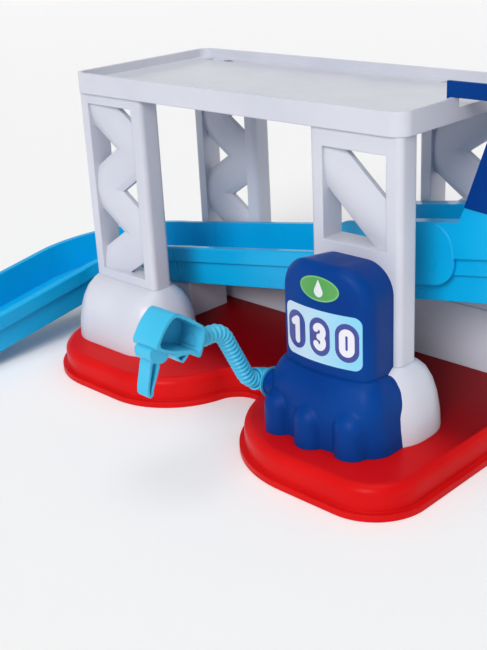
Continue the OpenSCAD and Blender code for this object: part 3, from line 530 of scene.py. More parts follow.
class Look(Enum):
    """The finishes of this toy."""

    RED = BaseShell(
        "red_shell",
        paint(208, 22, 22),
        paint(196, 12, 16),
        paint(228, 84, 76),
        roughness=0.34,
        coat=0.0,
        shine=0.07,
        # painted shade of the floor under the storeys above: darker red towards the back
        painted_floor_shade=paint(130, 0, 6),
    )
    WHITE = Moulded(
        "white_plastic", paint(204, 206, 216), paint(196, 198, 210), paint(226, 228, 234), wear=0.3, glow=0.05
    )
    TRACK = Moulded("track_blue", paint(0, 172, 228), paint(0, 160, 220), paint(96, 210, 242), roughness=0.3)
    DARK = Moulded(
        "dark_blue",
        paint(0, 60, 136),
        paint(0, 50, 124),
        paint(16, 82, 160),
        roughness=0.44,
        coat=0.0,
        shine=0.1,
    )
    HOSE = Moulded(
        "hose_blue", paint(74, 187, 223), paint(54, 176, 217), paint(140, 216, 240), roughness=0.36, edge=0.8
    )
    BADGE = Ink("badge_green", paint(78, 154, 72), paint(98, 170, 90))
    RIM = Ink("badge_rim", paint(128, 188, 122), paint(146, 200, 140))
    FILM = Film("display_film", paint(190, 212, 228), paint(112, 196, 226), (72.0, 130.0))
    WINDOW = Ink("window_ink", paint(46, 58, 140), paint(62, 74, 156))
    DIGIT = Ink("digit_ink", paint(222, 222, 230), paint(208, 208, 218))
    STEEL = Steel("plated_steel", paint(196, 197, 200), paint(120, 118, 116))


class Workshop:
    """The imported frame, and the ways to dress its nodes and add pieces to it."""

    def __init__(self) -> None:
        """Loads the frame and keeps its box."""
        self.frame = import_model()
        self.cad_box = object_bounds()
        self._smooth: dict[float, bpy.types.NodeTree] = {}

    def smoother(self, degrees: float) -> bpy.types.NodeTree:
        """A modifier group that joins a node's faces and shades it smooth where it bends gently.

        Args:
            degrees: Edges sharper than this stay sharp.

        Returns:
            The geometry group.
        """
        if degrees in self._smooth:
            return self._smooth[degrees]
        tree = bpy.data.node_groups.new(f"smooth_{degrees:g}", "GeometryNodeTree")
        tree.interface.new_socket("Geometry", in_out="INPUT", socket_type="NodeSocketGeometry")
        tree.interface.new_socket("Geometry", in_out="OUTPUT", socket_type="NodeSocketGeometry")
        kinds = ("NodeGroupInput", "GeometryNodeMergeByDistance", "GeometryNodeInputMeshEdgeAngle")
        source, weld, angle = (tree.nodes.new(kind) for kind in kinds)
        kinds = ("FunctionNodeCompare", "GeometryNodeSetShadeSmooth", "GeometryNodeSetShadeSmooth")
        test, faces, edges = (tree.nodes.new(kind) for kind in kinds)
        result = tree.nodes.new("NodeGroupOutput")
        weld.inputs["Distance"].default_value = WELD * MM
        test.operation = "LESS_THAN"
        test.inputs["B"].default_value = math.radians(degrees)
        faces.domain, edges.domain = "FACE", "EDGE"
        for first, second in (
            (source.outputs[0], weld.inputs["Geometry"]),
            (weld.outputs[0], faces.inputs["Geometry"]),
            (faces.outputs[0], edges.inputs["Geometry"]),
            (angle.outputs["Unsigned Angle"], test.inputs["A"]),
            (test.outputs[0], edges.inputs["Shade Smooth"]),
            (edges.outputs[0], result.inputs[0]),
        ):
            tree.links.new(first, second)
        self._smooth[degrees] = tree
        return tree

    def dress(self, nodes: Iterable[str], finish: Look, degrees: float) -> None:
        """Gives CAD nodes their finish and soft shading.

        Args:
            nodes: Names of the nodes.
            finish: Their finish.
            degrees: Edges sharper than this stay sharp.
        """
        for name in nodes:
            node = self.frame["nodes"][name]
            normals = node.data.attributes.get("custom_normal")
            if normals is not None:
                node.data.attributes.remove(normals)
            node.data.materials.clear()
            node.data.materials.append(finish.value.material())
            node.modifiers.new("soft_shade", "NODES").node_group = self.smoother(degrees)
            LOG.info("dressed %s in %s", name, finish.value.name)

    def add(
        self,
        name: str,
        shape: Shape,
        finish: Look,
        body: str,
        slot: str,
        replaces: Sequence[str] = (),
    ) -> None:
        """Adds a modelled piece.

        Args:
            name: Name of the piece.
            shape: Its mesh, in metres; it is freed here.
            finish: Its finish.
            body: The body that it rides on.
            slot: The record's material slot; not used.
            replaces: CAD nodes that it stands for.
        """
        bmesh.ops.recalc_face_normals(shape, faces=shape.faces)
        mesh = mesh_of(name, shape)
        mesh.shade_smooth()
        mesh.set_sharp_from_angle(angle=math.radians(SHARP))
        mesh.materials.append(finish.value.material())
        piece = stand(name, mesh)
        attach(piece, body)
        if replaces:
            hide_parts(*replaces)
        LOG.info("added %s on %s", name, body)

    @staticmethod
    def carve(shape: Shape, tool: Shape, operation: str) -> Shape:
        """Joins another closed shape to one, or cuts it from that.

        Args:
            shape: The shape; it is freed here.
            tool: The other shape; it is freed here.
            operation: UNION or DIFFERENCE.

        Returns:
            The carved shape.
        """
        held = [stand(name, mesh_of(name, part)) for name, part in (("shape", shape), ("tool", tool))]
        cut = held[0].modifiers.new("cut", "BOOLEAN")
        cut.operation, cut.solver, cut.object = operation, "EXACT", held[1]
        carved = bmesh.new()
        carved.from_object(held[0], bpy.context.evaluated_depsgraph_get())
        for piece in held:
            mesh = piece.data
            bpy.data.objects.remove(piece)
            bpy.data.meshes.remove(mesh)
        return carved


class Outline:
    """Flat outlines, as lists of points in millimetres."""

    @staticmethod
    def arc(centre: Point2, radius: Point2, start: float, end: float, steps: int) -> list[Point2]:
        """Points of a round or oval arc, with both ends; angles are in degrees."""
        angles = [math.radians(start + (end - start) * i / steps) for i in range(steps + 1)]
        return [(centre[0] + radius[0] * math.cos(a), centre[1] + radius[1] * math.sin(a)) for a in angles]

    @staticmethod
    def strips(edge: Sequence[Point2]) -> Faces:
        """Upright strips that fill an outline, from its upper half, so that it can follow a bowed face."""
        return [[(a, -c), (b, -d), (b, d), (a, c)] for (a, c), (b, d) in zip(edge, edge[1:])]

    @classmethod
    def oval(cls, width: float, height: float, straight: float = 0.0, steps: int = 40) -> Faces:
        """An oval in strips, or a slot with round ends if there is a straight length between them."""
        turns = [math.pi * i / steps for i in range(steps + 1)]
        return cls.strips([(-width / 2 * math.cos(t), (straight + height * math.sin(t)) / 2) for t in turns])

    @classmethod
    def panel(cls, width: float, height: float, corner: float, steps: int = 40, turns: int = 8) -> Faces:
        """A panel with round corners.

        Args:
            width: Width of the panel.
            height: Height of the panel.
            corner: Radius of its corners.
            steps: Number of faces between the corners.
            turns: Number of faces in a corner.

        Returns:
            Flat faces as lists of points.
        """
        flat = width / 2 - corner
        angles = [math.pi / 2 * i / turns for i in range(turns)]
        right = [(flat + corner * math.cos(t), height / 2 - corner + corner * math.sin(t)) for t in angles]
        middle = [(flat * (2 * i / steps - 1), height / 2) for i in range(steps + 1)]
        return cls.strips([(-x, z) for x, z in right] + middle + right[::-1])

    @classmethod
    def stroke(cls, line: Sequence[Point2], width: float, closed: bool, steps: int = 10) -> Faces:
        """Quads of a pen stroke along a line, with round ends unless it is closed.

        Args:
            line: Points of the pen's path.
            width: Width of the pen.
            closed: Whether the path ends where it starts.
            steps: Number of steps round an end.

        Returns:
            Flat faces as lists of points.
        """
        count = len(line)
        edges: list[tuple[Point2, Point2]] = []
        for i, (x, y) in enumerate(line):
            before = line[i - 1] if closed or i > 0 else line[i]
            after = line[(i + 1) % count] if closed or i < count - 1 else line[i]
            dx, dy = after[0] - before[0], after[1] - before[1]
            size = math.hypot(dx, dy) or 1.0
            nx, ny = -dy / size * width / 2, dx / size * width / 2
            edges.append(((x + nx, y + ny), (x - nx, y - ny)))
        runs = list(zip(edges, edges[1:] + edges[:1]))
        faces = [[a, b, d, c] for (a, b), (c, d) in (runs if closed else runs[:-1])]
        if not closed:
            for i, sign in ((0, 1), (count - 1, -1)):
                left = edges[i][0]
                start = math.degrees(math.atan2(left[1] - line[i][1], left[0] - line[i][0]))
                faces.append(cls.arc(line[i], (width / 2, width / 2), start, start + sign * 180, steps))
        return faces


@dataclass
class SubAssembly:
    """A group of pieces that belong together.

    Attributes:
        finish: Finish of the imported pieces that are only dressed.
        pieces: Their nodes.
        sharp: Edges of theirs that bend more than this many degrees stay sharp.
    """

    finish: Look
    pieces: tuple[str, ...]
    sharp: float = 28.0

    def build(self, shop: Workshop) -> None:
        """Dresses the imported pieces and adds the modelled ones."""
        shop.dress(self.pieces, self.finish, self.sharp)
        self.model(shop)

    def model(self, shop: Workshop) -> None:
        """Adds the modelled pieces, where there are any."""


@dataclass
class Base(SubAssembly):
    """Red shell that everything stands on."""

    finish: Look = Look.RED
    pieces: tuple[str, ...] = ("base_plate",)


@dataclass
class Towers(SubAssembly):
    """White feet, plinth, lattice towers, deck and track leg."""

    finish: Look = Look.WHITE
    pieces: tuple[str, ...] = (
        "bell_foot_left",
        "bell_foot_right",
        "rear_plinth",
        "tower_front_left",
        "tower_front_right",
        "tower_rear_left",
        "tower_rear_right",
        "upper_deck",
        "track_leg",
    )


@dataclass
class TrackRun(SubAssembly):
    """Light blue track, ramp and landing that cars run on."""

    finish: Look = Look.TRACK
    pieces: tuple[str, ...] = ("centre_track", "exit_ramp", "landing")


@dataclass
class Chute(SubAssembly):
    """Dark blue chute that drops cars on the landing."""

    finish: Look = Look.DARK
    pieces: tuple[str, ...] = ("drop_chute",)


@dataclass
class Fasteners(SubAssembly):
    """Steel screws and the hinge washer."""

    finish: Look = Look.STEEL
    pieces: tuple[str, ...] = (
        "pivot_washer",
        "pivot_screw",
        "base_screws",
        "deck_screws",
        "pump_screws",
        "track_screws",
    )


@dataclass(frozen=True)
class Lobe:
    """A rounded lobe at the foot of the pump's skirt.

    Attributes:
        x: Its middle, from the middle of the pump.
        front: Y of its foremost line.
        radius: Its radius.
        top: Height of its top.
    """

    x: float
    front: float
    radius: float
    top: float

    def merge(self, x: float, z: float, skirt: float, soft: float) -> float:
        """Joins the lobe to the skirt behind it.

        Args:
            x: Place across the pump, from its middle.
            z: Height.
            skirt: Y of the skirt there.
            soft: Width of the soft corner between the two.

        Returns:
            Y of the joined surface.
        """
        rise = max(0.0, z - self.top + self.radius)
        inside = self.radius**2 - (x - self.x) ** 2 - rise**2
        if inside <= 0:
            return skirt
        own = self.front + self.radius - math.sqrt(inside)
        blend = max(soft - abs(own - skirt), 0.0)
        return min(own, skirt) - blend**2 / (4 * soft)


@dataclass(frozen=True)
class SkinRow:
    """One level of the pump's skin.

    Attributes:
        z: Height of its front.
        sides: How far it reaches to the left and to the right of the middle.
        out: How far it stands out in front of the bowed face.
        edge: Radius of its front corners.
        draft: How far its rear corners are drawn in.
        rear: Y and height of its rear corners.
    """

    z: float
    sides: Point2
    out: float
    edge: float
    draft: float
    rear: Point2


@dataclass(frozen=True)
class PumpSkin:
    """Outer skin of the pump: body, full-shouldered skirt, lobes and hose boss.

    Attributes:
        middle: X of the middle of the bowed face.
        face_r: Radius of the bowed face.
        front: Y of the foremost line of the face.
        back: Y of the back of the pump.
        levels: Heights of the foot, the shoulder, the waist and the top.
        body: Half width, edge radius and top corner radius of the body.
        draft: How far the back is drawn in.
        skirt: Half width, front overhang and edge radius of the skirt.
        flare: How much wider the skirt is on its right, at its foot and at its shoulder.
        round_off: Power of the shoulder's curve; 1 is an oval.
        sag: How much lower the waist is at the back.
        ledge: How far the skirt stands out at the waist.
        tuck: How far the skirt draws in at its foot.
        wing: How far the skirt reaches round the foot behind it.
        wing_in: Inner sides of those wings, from the middle.
        lobes: The three lobes of the skirt.
        soft: Width of the soft corner beside a lobe.
        boss: X, Y and height of the hose boss, and its radius and length.
        bore: Radius of the axle's bore through the boss.
        pocket: Radius and length of the room for the washer and screw behind it.
        steps: Levels in the foot, the shoulder, the straight body and the round top.
        columns: Points round a front corner, over the front and along a side.
        seam: Height of the step between the skirt and the body.
        wing_t: Least width of a wing.
        past: How far the bore is cut past both ends of the boss.
        weld: How near points are that are made one.
        sides: Flat sides of the boss and its bores.
    """

    middle: float = 98.5
    face_r: float = 95.0
    front: float = -77.5
    back: float = -45.5
    levels: tuple[float, float, float, float] = (20.02, 38.4, 64.0, 130.0)
    body: Point3 = (33.0, 6.0, 22.0)
    draft: float = 3.0
    skirt: Point3 = (42.0, 11.0, 9.0)
    flare: Point2 = (3.6, 1.0)
    round_off: float = 1.3
    sag: float = 4.0
    ledge: float = 0.7
    tuck: float = 0.6
    wing: float = 4.0
    wing_in: Point2 = (32.2, 35.2)
    lobes: tuple[Lobe, ...] = (
        Lobe(-27.5, -92.0, 10.0, 47.0),
        Lobe(-1.5, -94.5, 10.5, 46.5),
        Lobe(26.0, -90.8, 11.0, 48.5),
    )
    soft: float = 0.9
    boss: tuple[float, float, float, float, float] = (56.0, -73.0, 43.5, 8.5, 13.0)
    bore: float = 3.06
    pocket: Point2 = (8.0, 14.0)
    steps: tuple[int, int, int, int] = (20, 24, 15, 18)
    columns: tuple[int, int, int] = (10, 84, 6)
    seam: float = 0.02
    wing_t: float = 0.4
    past: float = 1.0
    weld: float = 0.004
    sides: int = 72

    def face(self, x: float) -> float:
        """Y of the bowed face at an X from its middle."""
        return self.front + self.face_r - math.sqrt(self.face_r**2 - x**2)

    def rows(self) -> list[SkinRow]:
        """Levels of the skin from the foot to the top.

        Returns:
            The levels.
        """
        foot, shoulder, waist, top = self.levels
        half, edge, top_r = self.body
        wide, over, corner = self.skirt
        low, high = self.flare
        in_foot, in_shoulder, in_body, in_top = self.steps
        rows = []
        for i in range(in_foot):
            share = i / in_foot
            pinch = self.tuck * (1 - share) ** 2
            z = foot + (shoulder - foot) * share
            sides = (wide - pinch, wide + low + (high - low) * share - pinch)
            rows.append(SkinRow(z, sides, over - pinch, corner, 0.0, (self.back + self.wing, z)))
        neck = half + self.ledge
        for i in range(in_shoulder + 1):
            turn = math.pi / 2 * i / in_shoulder
            full = math.cos(turn) ** self.round_off
            z = shoulder + (waist - shoulder) * math.sin(turn)
            sides = (neck + (wide - neck) * full, neck + (wide + high - neck) * full)
            rear = (self.back + self.wing * full, z - self.sag * math.sin(turn) ** 2)
            out = self.ledge + (over - self.ledge) * full
            rows.append(SkinRow(z, sides, out, edge + (corner - edge) * full, self.draft * (1 - full), rear))
        start, arch = waist + self.seam, top - top_r
        for i in range(in_body):
            share = i / in_body
            z = start + (arch - start) * share
            rear = (self.back, z - self.sag * (1 - share))
            rows.append(SkinRow(z, (half, half), 0.0, edge, self.draft, rear))
        for i in range(in_top + 1):
            turn = math.pi / 2 * i / in_top
            x = half - top_r + top_r * math.cos(turn)
            rear = (self.back, arch + (top_r - self.draft) * math.sin(turn))
            rows.append(
                SkinRow(arch + top_r * math.sin(turn), (x, x), 0.0, edge, self.draft * math.cos(turn), rear)
            )
        return rows

    def depth(self, row: SkinRow, x: float) -> float:
        """Y of the front of the skin.

        Args:
            row: The level.
            x: Place across the pump, from its middle.

        Returns:
            The Y there.
        """
        half, _, top_r = self.body
        top = self.levels[3]
        gap = min(row.sides[0] + x, row.sides[1] - x, top - row.z)
        if row.z > top - top_r and abs(x) > half - top_r:
            gap = top_r - math.hypot(abs(x) - half + top_r, row.z - top + top_r)
        inner = row.edge - min(max(gap, 0.0), row.edge)
        turn_in = row.edge - math.sqrt(row.edge**2 - inner**2)
        y = self.face(x) - row.out + turn_in
        for lobe in self.lobes:
            y = lobe.merge(x, row.z, y, self.soft)
        return y

    def ring(self, row: SkinRow) -> list[Point3]:
        """Points round a level, from the left wing over the front to the right wing.

        Args:
            row: The level.

        Returns:
            The points, with X from the middle of the pump.
        """
        corner, wide, painted_floor_shade = self.columns
        turns = [row.edge * (1 - math.cos(math.pi / 2 * i / corner)) for i in range(corner + 1)]
        left, right = row.sides
        first, last = row.edge - left, right - row.edge
        across = [t - left for t in turns] + [first + (last - first) * i / wide for i in range(1, wide)]
        front = [(x, self.depth(row, x), row.z) for x in across + [right - t for t in turns[::-1]]]
        rear_y, rear_z = row.rear
        sides, ends = [], []
        for sign, reach, inside, near in zip((-1, 1), row.sides, self.wing_in, (front[0], front[-1])):
            far = Vector((sign * (reach - row.draft), rear_y, rear_z))
            sides.append([tuple(far.lerp(Vector(near), i / painted_floor_shade)) for i in range(painted_floor_shade)])
            x = sign * min(inside, reach - row.draft - self.wing_t)
            ends.append([(x, self.back, rear_z), (x, rear_y, rear_z)])
        return ends[0] + sides[0] + front + sides[1][::-1] + ends[1][::-1]

    def shape(self) -> Shape:
        """Closed mesh of the skin and its boss.

        Returns:
            The mesh, in metres.
        """
        skin = bmesh.new()
        at = Vector((self.middle, 0, 0))
        loops = [[skin.verts.new((Vector(p) + at) * MM) for p in self.ring(row)] for row in self.rows()]
        join_rings(skin, loops)
        skin.faces.new(loops[0][::-1])
        skin.faces.new(loops[-1])
        bmesh.ops.remove_doubles(skin, verts=skin.verts, dist=self.weld * MM)
        bmesh.ops.dissolve_degenerate(skin, edges=skin.edges, dist=self.weld / 2 * MM)
        bmesh.ops.recalc_face_normals(skin, faces=skin.faces)
        radius, length = self.boss[3:]
        skin = Workshop.carve(skin, self.rod(radius, 0.0, length), "UNION")
        skin = Workshop.carve(skin, self.rod(self.bore, -self.past, length + 2 * self.past), "DIFFERENCE")
        return Workshop.carve(skin, self.rod(self.pocket[0], length, self.pocket[1]), "DIFFERENCE")

    def rod(self, radius: float, start: float, length: float) -> Shape:
        """A round rod along the hose axle.

        Args:
            radius: Its radius.
            start: Where it starts, from the outer end of the boss.
            length: Its length.

        Returns:
            The rod's mesh, in metres.
        """
        rod = bmesh.new()
        x, y, z = self.boss[:3]
        middle = Vector((x + start + length / 2, y, z))
        place = Matrix.Translation(middle * MM) @ Matrix.Rotation(math.pi / 2, 4, "Y")
        r = radius * MM
        bmesh.ops.create_cone(
            rod, cap_ends=True, segments=self.sides, radius1=r, radius2=r, depth=length * MM, matrix=place
        )
        return rod


@dataclass
class Pump(SubAssembly):
    """Fuel pump with its badge and its display.

    Attributes:
        skin: Outer skin with the bowed face.
        spots: Middle of each display window, from the middle of the display.
        digits: Digit in each window.
        window: Width and height of a window.
        facets: Flat faces across a window.
        pen: Width of the digits' stroke.
        film_t: Thickness of the printed layers.
        film: Width, height and corner radius of the display film.
        oval: Width and height of the badge.
        rim: Width of the badge's pale rim.
        drop: Radius of the badge's drop, and heights of the middle of its round end and of its tip.
        margin: Room between a window's edge and its digit's pen path, at the side and at the end.
        lift_film: How far the display film stands off the face.
        lift_window: How far its windows do.
        lift_digit: How far its digits do, and how much more each further stroke does.
        lift_badge: How far the badge does.
        lift_mark: How far the badge's rim and drop do.
        weld: How near points of a print are that are made one.
    """

    finish: Look = Look.DARK
    pieces: tuple[str, ...] = ("pump_back",)
    sharp: float = 32.0
    skin: PumpSkin = PumpSkin()
    spots: tuple[float, ...] = (-18.6, 0.0, 18.6)
    digits: tuple[int, ...] = (1, 3, 0)
    window: Point2 = (15.0, 23.8)
    facets: int = 28
    pen: float = 4.1
    film_t: float = 0.3
    film: Point3 = (55.8, 32.8, 4.9)
    oval: Point2 = (28.6, 15.2)
    rim: float = 0.6
    drop: Point3 = (3.2, -1.76, 5.6)
    margin: Point2 = (4.7, 5.3)
    lift_film: float = 0.05
    lift_window: float = 0.12
    lift_digit: Point2 = (0.24, 0.02)
    lift_badge: float = 0.1
    lift_mark: float = 0.16
    weld: float = 0.005

    def model(self, shop: Workshop) -> None:
        """Adds the pump's skin and prints its display and badge.

        Args:
            shop: The workshop that holds the frame.
        """
        shop.add("pump_skin", self.skin.shape(), self.finish, "frame", "dark_blue", ["pump_shell"])
        self.display(shop)
        self.badge(shop)

    def lay(self, centre: Point2, *layers: tuple[Faces, float]) -> Shape:
        """Lays thin printed layers on the bowed face.

        Args:
            centre: Where the origin of their faces lies, along X and Z.
            layers: Flat faces of each layer, seen from the front, and how far it stands off the face.

        Returns:
            The print, in metres.
        """
        shape = bmesh.new()
        for faces, lift in layers:
            layer = bmesh.new()
            for face in faces:
                spots = [(centre[0] + x, centre[1] + z) for x, z in face]
                points = [Vector((x, self.skin.face(x - self.skin.middle) - lift, z)) for x, z in spots]
                layer.faces.new([layer.verts.new(point * MM) for point in points])
            bmesh.ops.remove_doubles(layer, verts=layer.verts, dist=self.weld * MM)
            grown = bmesh.ops.extrude_face_region(layer, geom=list(layer.faces))
            moved = [v for v in grown["geom"] if isinstance(v, bmesh.types.BMVert)]
            bmesh.ops.translate(layer, verts=moved, vec=Vector((0, (lift + self.film_t) * MM, 0)))
            held = mesh_of("layer", layer)
            shape.from_mesh(held)
            bpy.data.meshes.remove(held)
        return shape

    @staticmethod
    def centre(node: str) -> Point2:
        """Middle of a label along X and Z.

        Args:
            node: The label's node.

        Returns:
            X and Z in millimetres.
        """
        low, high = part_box(node)
        mid = (low + high) / 2
        return mid.x / MM, mid.z / MM

    def strokes(self, digit: int) -> list[tuple[list[Point2], bool]]:
        """Pen paths of a display digit.

        Args:
            digit: The digit: 0, 1 or 3.

        Returns:
            Paths, each with whether it is closed.
        """
        half, top = (size / 2 - room for size, room in zip(self.window, self.margin))
        if digit == 1:
            flag = [(-2.6, top - 2.4), (-1.0, top - 1.0), (0.5, top - 0.2)]
            stem = [(0.8, top), (0.8, -top)]
            return [(flag, False), (stem, False)]
        if digit == 3:
            bow = top / 2
            upper = Outline.arc((0, bow), (half, bow), 155, -90, 20)
            lower = Outline.arc((0, -bow), (half, bow), 90, -155, 20)
            return [(upper, False), (lower, False)]
        loop = Outline.arc((0, top - half), (half, half), 0, 180, 14)
        return [(loop + Outline.arc((0, half - top), (half, half), 180, 360, 14), True)]

    def display(self, shop: Workshop) -> None:
        """Lays the display film and prints the windows and their digits.

        Args:
            shop: The workshop that holds the frame.
        """
        centre = self.centre("pump_display")
        film = self.lay(centre, (Outline.panel(*self.film), self.lift_film))
        shop.add("display_sheet", film, Look.FILM, "frame", "display_film", ["pump_display"])
        width, height = self.window
        slot = Outline.oval(width, width, height - width, self.facets)
        first, more = self.lift_digit
        for at, digit in zip(self.spots, self.digits):
            spot = (centre[0] + at, centre[1])
            window = self.lay(spot, (slot, self.lift_window))
            shop.add(f"window_{digit}", window, Look.WINDOW, "frame", "display_film")
            lines = [Outline.stroke(line, self.pen, closed) for line, closed in self.strokes(digit)]
            mark = self.lay(spot, *((line, first + more * i) for i, line in enumerate(lines)))
            shop.add(f"digit_{digit}", mark, Look.DIGIT, "frame", "display_film")

    def badge(self, shop: Workshop) -> None:
        """Lays the oval badge on the face and prints its rim and its pale drop.

        Args:
            shop: The workshop that holds the frame.
        """
        centre = self.centre("pump_badge")
        plate = self.lay(centre, (Outline.oval(*self.oval), self.lift_badge))
        shop.add("badge_oval", plate, Look.BADGE, "frame", "badge_green", ["pump_badge"])
        inner = (self.oval[0] / 2 - self.rim, self.oval[1] / 2 - self.rim)
        edge = Outline.arc((0, 0), inner, 0, 354, 59)
        border = self.lay(centre, (Outline.stroke(edge, self.rim, True), self.lift_mark))
        shop.add("badge_rim", border, Look.RIM, "frame", "badge_green")
        r, low, tip = self.drop
        round_end = Outline.arc((0, low), (r, r), 150, 390, 22)
        drop = self.lay(centre, ([round_end + [(0.0, tip)]], self.lift_mark))
        shop.add("badge_drop", drop, Look.DIGIT, "frame", "badge_green")


@dataclass
class HoseArm(SubAssembly):
    """Hub, ribbed hose and nozzle that swing together.

    Attributes:
        x: Place of the hose's middle plane.
        end: Y and Z of the hose's end in the hub.
        lead_hub: Straight length at the hub.
        lead_nozzle: Straight length at the nozzle.
        bend: Bend radius.
        rise_hub: Slope at the hub, in degrees.
        rise_middle: Slope of the middle, in degrees.
        rise_nozzle: Slope at the nozzle, in degrees.
        middle: Straight length of the middle.
        radius: Outside radius of the ribs.
        groove: Depth of the grooves.
        ribs: Number of ribs.
        per_rib: Rings of points on one rib.
        sides: Points round one ring.
        seat: Radius where the hose sits in the wall of the nozzle.
        wall: Thickness of that wall along the hose.
        lean: How far that wall leans back for each millimetre of height.
        round_rib: Power of the ribs' wave; below 1 the ribs are wide and the grooves narrow.
    """

    finish: Look = Look.HOSE
    pieces: tuple[str, ...] = ("hose_hub", "nozzle")
    sharp: float = 30.0
    x: float = 48.1
    end: Point2 = (-76.95, 44.94)
    lead_hub: float = 4.95
    lead_nozzle: float = 17.6
    bend: float = 13.0
    rise_hub: float = 20.0
    rise_middle: float = 62.0
    rise_nozzle: float = 0.0
    middle: float = 31.6
    radius: float = 5.5
    groove: float = 1.4
    ribs: int = 24
    per_rib: int = 10
    sides: int = 48
    seat: float = 5.68
    wall: float = 2.15
    lean: float = 0.3895
    round_rib: float = 0.5

    def route(self) -> list[Point2]:
        """Centre line from the hub to the nozzle.

        Returns:
            Y and Z at each ring.
        """
        back = math.radians(self.rise_middle - self.rise_hub)
        over = math.radians(self.rise_middle - self.rise_nozzle)
        parts = [
            (self.lead_hub, 0.0),
            (self.bend * back, 1 / self.bend),
            (self.middle, 0.0),
            (self.bend * over, -1 / self.bend),
            (self.lead_nozzle, 0.0),
        ]
        count = self.ribs * self.per_rib
        step = sum(length for length, _ in parts) / count
        y, z = self.end
        points = [self.end]
        for i in range(count):
            angle = self._slope(parts, (i + 0.5) * step)
            y, z = y - step * math.cos(angle), z + step * math.sin(angle)
            points.append((y, z))
        return points

    def _slope(self, parts: Sequence[Point2], along: float) -> float:
        """Angle of the centre line above level.

        Args:
            parts: Lengths and curvatures of its pieces.
            along: Length along the line.

        Returns:
            The angle in radians.
        """
        angle = math.radians(self.rise_hub)
        for length, curve in parts:
            angle += curve * min(max(along, 0.0), length)
            along -= length
        return angle

    def tube(self) -> Shape:
        """Ribbed tube with round ribs.

        Returns:
            The closed tube.
        """
        line = [Vector((self.x, y, z)) for y, z in self.route()]
        end = line[-1]
        shape = bmesh.new()
        rings = []
        for i, spot in enumerate(line):
            run = (line[min(i + 1, len(line) - 1)] - line[max(i - 1, 0)]).normalized()
            up = Vector((1, 0, 0)).cross(run)
            wave = 0.5 - 0.5 * math.cos(2 * math.pi * i / self.per_rib)
            r = self.radius - self.groove * (1 - wave**self.round_rib)
            ring = []
            for k in range(self.sides):
                turn = 2 * math.pi * k / self.sides
                out = math.cos(turn) * Vector((1, 0, 0)) + math.sin(turn) * up
                point = spot + r * out
                if point.y - end.y - self.lean * (point.z - end.z) < self.wall:
                    point = spot + self.seat * out
                ring.append(shape.verts.new(point * MM))
            rings.append(ring)
        join_rings(shape, rings)
        shape.faces.new(rings[0])
        shape.faces.new(rings[-1])
        self._trim(shape, end * MM)
        return shape

    def _trim(self, shape: Shape, end: Vector) -> None:
        """Cuts the hose flush with the inner wall of the nozzle.

        Args:
            shape: The tube.
            end: Middle of its end in the nozzle.
        """
        inward = Vector((0.0, -1.0, self.lean)).normalized()
        cut = bmesh.ops.bisect_plane(
            shape,
            geom=[*shape.verts, *shape.edges, *shape.faces],
            plane_co=end,
            plane_no=inward,
            clear_outer=True,
        )
        edges = [piece for piece in cut["geom_cut"] if isinstance(piece, bmesh.types.BMEdge)]
        bmesh.ops.edgeloop_fill(shape, edges=edges)
        bmesh.ops.recalc_face_normals(shape, faces=shape.faces)

    def model(self, shop: Workshop) -> None:
        """Adds the ribbed hose."""
        shop.add("ribbed_hose", self.tube(), self.finish, "fuel_arm", "hose_blue", ["fuel_hose"])


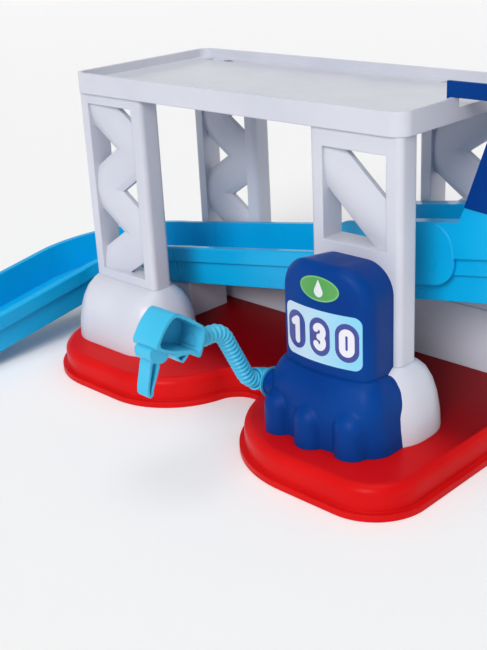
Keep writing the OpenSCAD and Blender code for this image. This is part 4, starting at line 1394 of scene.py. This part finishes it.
@dataclass
class Studio:
    """Pale floor, soft lights and the camera.

    Attributes:
        eye: Place of the camera.
        heading: Degrees that the camera is turned round from looking along +Y.
        dip: Degrees that it looks down.
        roll: Degrees that the picture is turned.
        focal: Focal length in pixels of the photo.
        frame: Width and height of the photo in pixels.
        floor_r: Radius of the flat floor.
        sweep_r: Radius of the curve by which the floor turns up into a backdrop.
        sweep_to: Slope at the top of the backdrop, in degrees.
        mesh: Rings of the backdrop and spokes of the floor.
        gap: How far the floor lies below the toy's feet.
        sensor: Width of the camera's sensor.
        surround: Strength of the pale surround.
        lamps: Name, direction from the toy, width in degrees and strength of each light.
    """

    eye: Point3 = (476.4, -512.4, 329.5)
    heading: float = 45.23
    dip: float = 22.11
    roll: float = -3.01
    focal: float = 1080.7
    frame: tuple[int, int] = (487, 650)
    floor_r: float = 4000.0
    sweep_r: float = 3000.0
    sweep_to: float = 70.0
    mesh: tuple[int, int] = (20, 96)
    gap: float = 0.2
    sensor: float = 36.0
    surround: float = 0.33
    lamps: tuple[tuple[str, Point3, float, float], ...] = (
        ("key", (0.3, -0.8, 0.52), 26.0, 2.05),
        ("top", (0.1, -0.05, 1.0), 40.0, 0.9),
    )

    def build(self) -> None:
        """Makes the floor, the lights and the camera."""
        self.floor()
        self.lights()
        self.camera()

    def floor(self) -> None:
        """Plain pale floor that curves up into a backdrop all round."""
        count, spokes = self.mesh
        slopes = [math.radians(self.sweep_to * i / count) for i in range(count + 1)]
        turns = [2 * math.pi * i / spokes for i in range(spokes)]
        shape = bmesh.new()
        middle = shape.verts.new((0.0, 0.0, 0.0))
        rings = []
        for slope in slopes:
            r, z = self.floor_r + self.sweep_r * math.sin(slope), self.sweep_r * (1 - math.cos(slope))
            rings.append([shape.verts.new(Vector((r * math.cos(t), r * math.sin(t), z)) * MM) for t in turns])
        for k, point in enumerate(rings[0]):
            shape.faces.new((middle, rings[0][k - 1], point))
        join_rings(shape, rings[::-1])
        mesh = mesh_of("floor", shape)
        mesh.shade_smooth()
        floor = stand("floor", mesh)
        floor.location.z = -self.gap * MM
        shader = Shader("pale_floor")
        shader.set(Base_Color=paint(246, 246, 246), Roughness=0.85)
        mesh.materials.append(shader.material)
        floor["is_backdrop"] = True

    def lights(self) -> None:
        """Soft key light from the front, a soft top light and a pale surround."""
        world = bpy.data.worlds.new("surround")
        world.use_nodes = True
        back = world.node_tree.nodes["Background"]
        back.inputs["Color"].default_value = (1.0, 1.0, 1.0, 1.0)
        back.inputs["Strength"].default_value = self.surround
        bpy.context.scene.world = world
        bpy.context.scene.view_settings.view_transform = "Standard"
        for lamp in self.lamps:
            self.lamp(*lamp)

    @staticmethod
    def lamp(name: str, towards: Point3, spread: float, strength: float) -> None:
        """One wide, even light from a direction.

        Args:
            name: Name of the light.
            towards: Direction from the toy to the light.
            spread: Width of the light in degrees.
            strength: Its strength.
        """
        light = bpy.data.lights.new(name, "SUN")
        light.angle = math.radians(spread)
        light.energy = strength
        lamp = stand(name, light)
        lamp.rotation_mode = "QUATERNION"
        lamp.rotation_quaternion = Vector(towards).to_track_quat("Z", "Y")

    def camera(self) -> None:
        """Camera at the photo's place, turned as the photo is."""
        a, d, t = (math.radians(v) for v in (self.heading, self.dip, self.roll))
        ahead = Vector((-math.sin(a) * math.cos(d), math.cos(a) * math.cos(d), -math.sin(d)))
        right = Vector((math.cos(a), math.sin(a), 0.0))
        up = right.cross(ahead)
        across = right * math.cos(t) + up * math.sin(t)
        above = up * math.cos(t) - right * math.sin(t)
        data = bpy.data.cameras.new("photo_camera")
        data.sensor_fit = "AUTO"
        data.sensor_width = self.sensor
        data.lens = self.sensor * self.focal / max(self.frame)
        camera = stand("photo_camera", data)
        turned = Matrix((across, above, -ahead)).transposed()
        camera.matrix_world = Matrix.Translation(Vector(self.eye) * MM) @ turned.to_4x4()
        bpy.context.scene.camera = camera


def main() -> None:
    """Builds the scene in order."""
    logging.basicConfig(level=logging.INFO, format="%(name)s: %(message)s")
    shop = Workshop()
    Studio().build()
    for part in (Base(), Towers(), TrackRun(), Chute(), Pump(), HoseArm(), Fasteners()):
        part.build(shop)
        LOG.info("built %s", type(part).__name__)


if __name__ == "__main__":
    main()
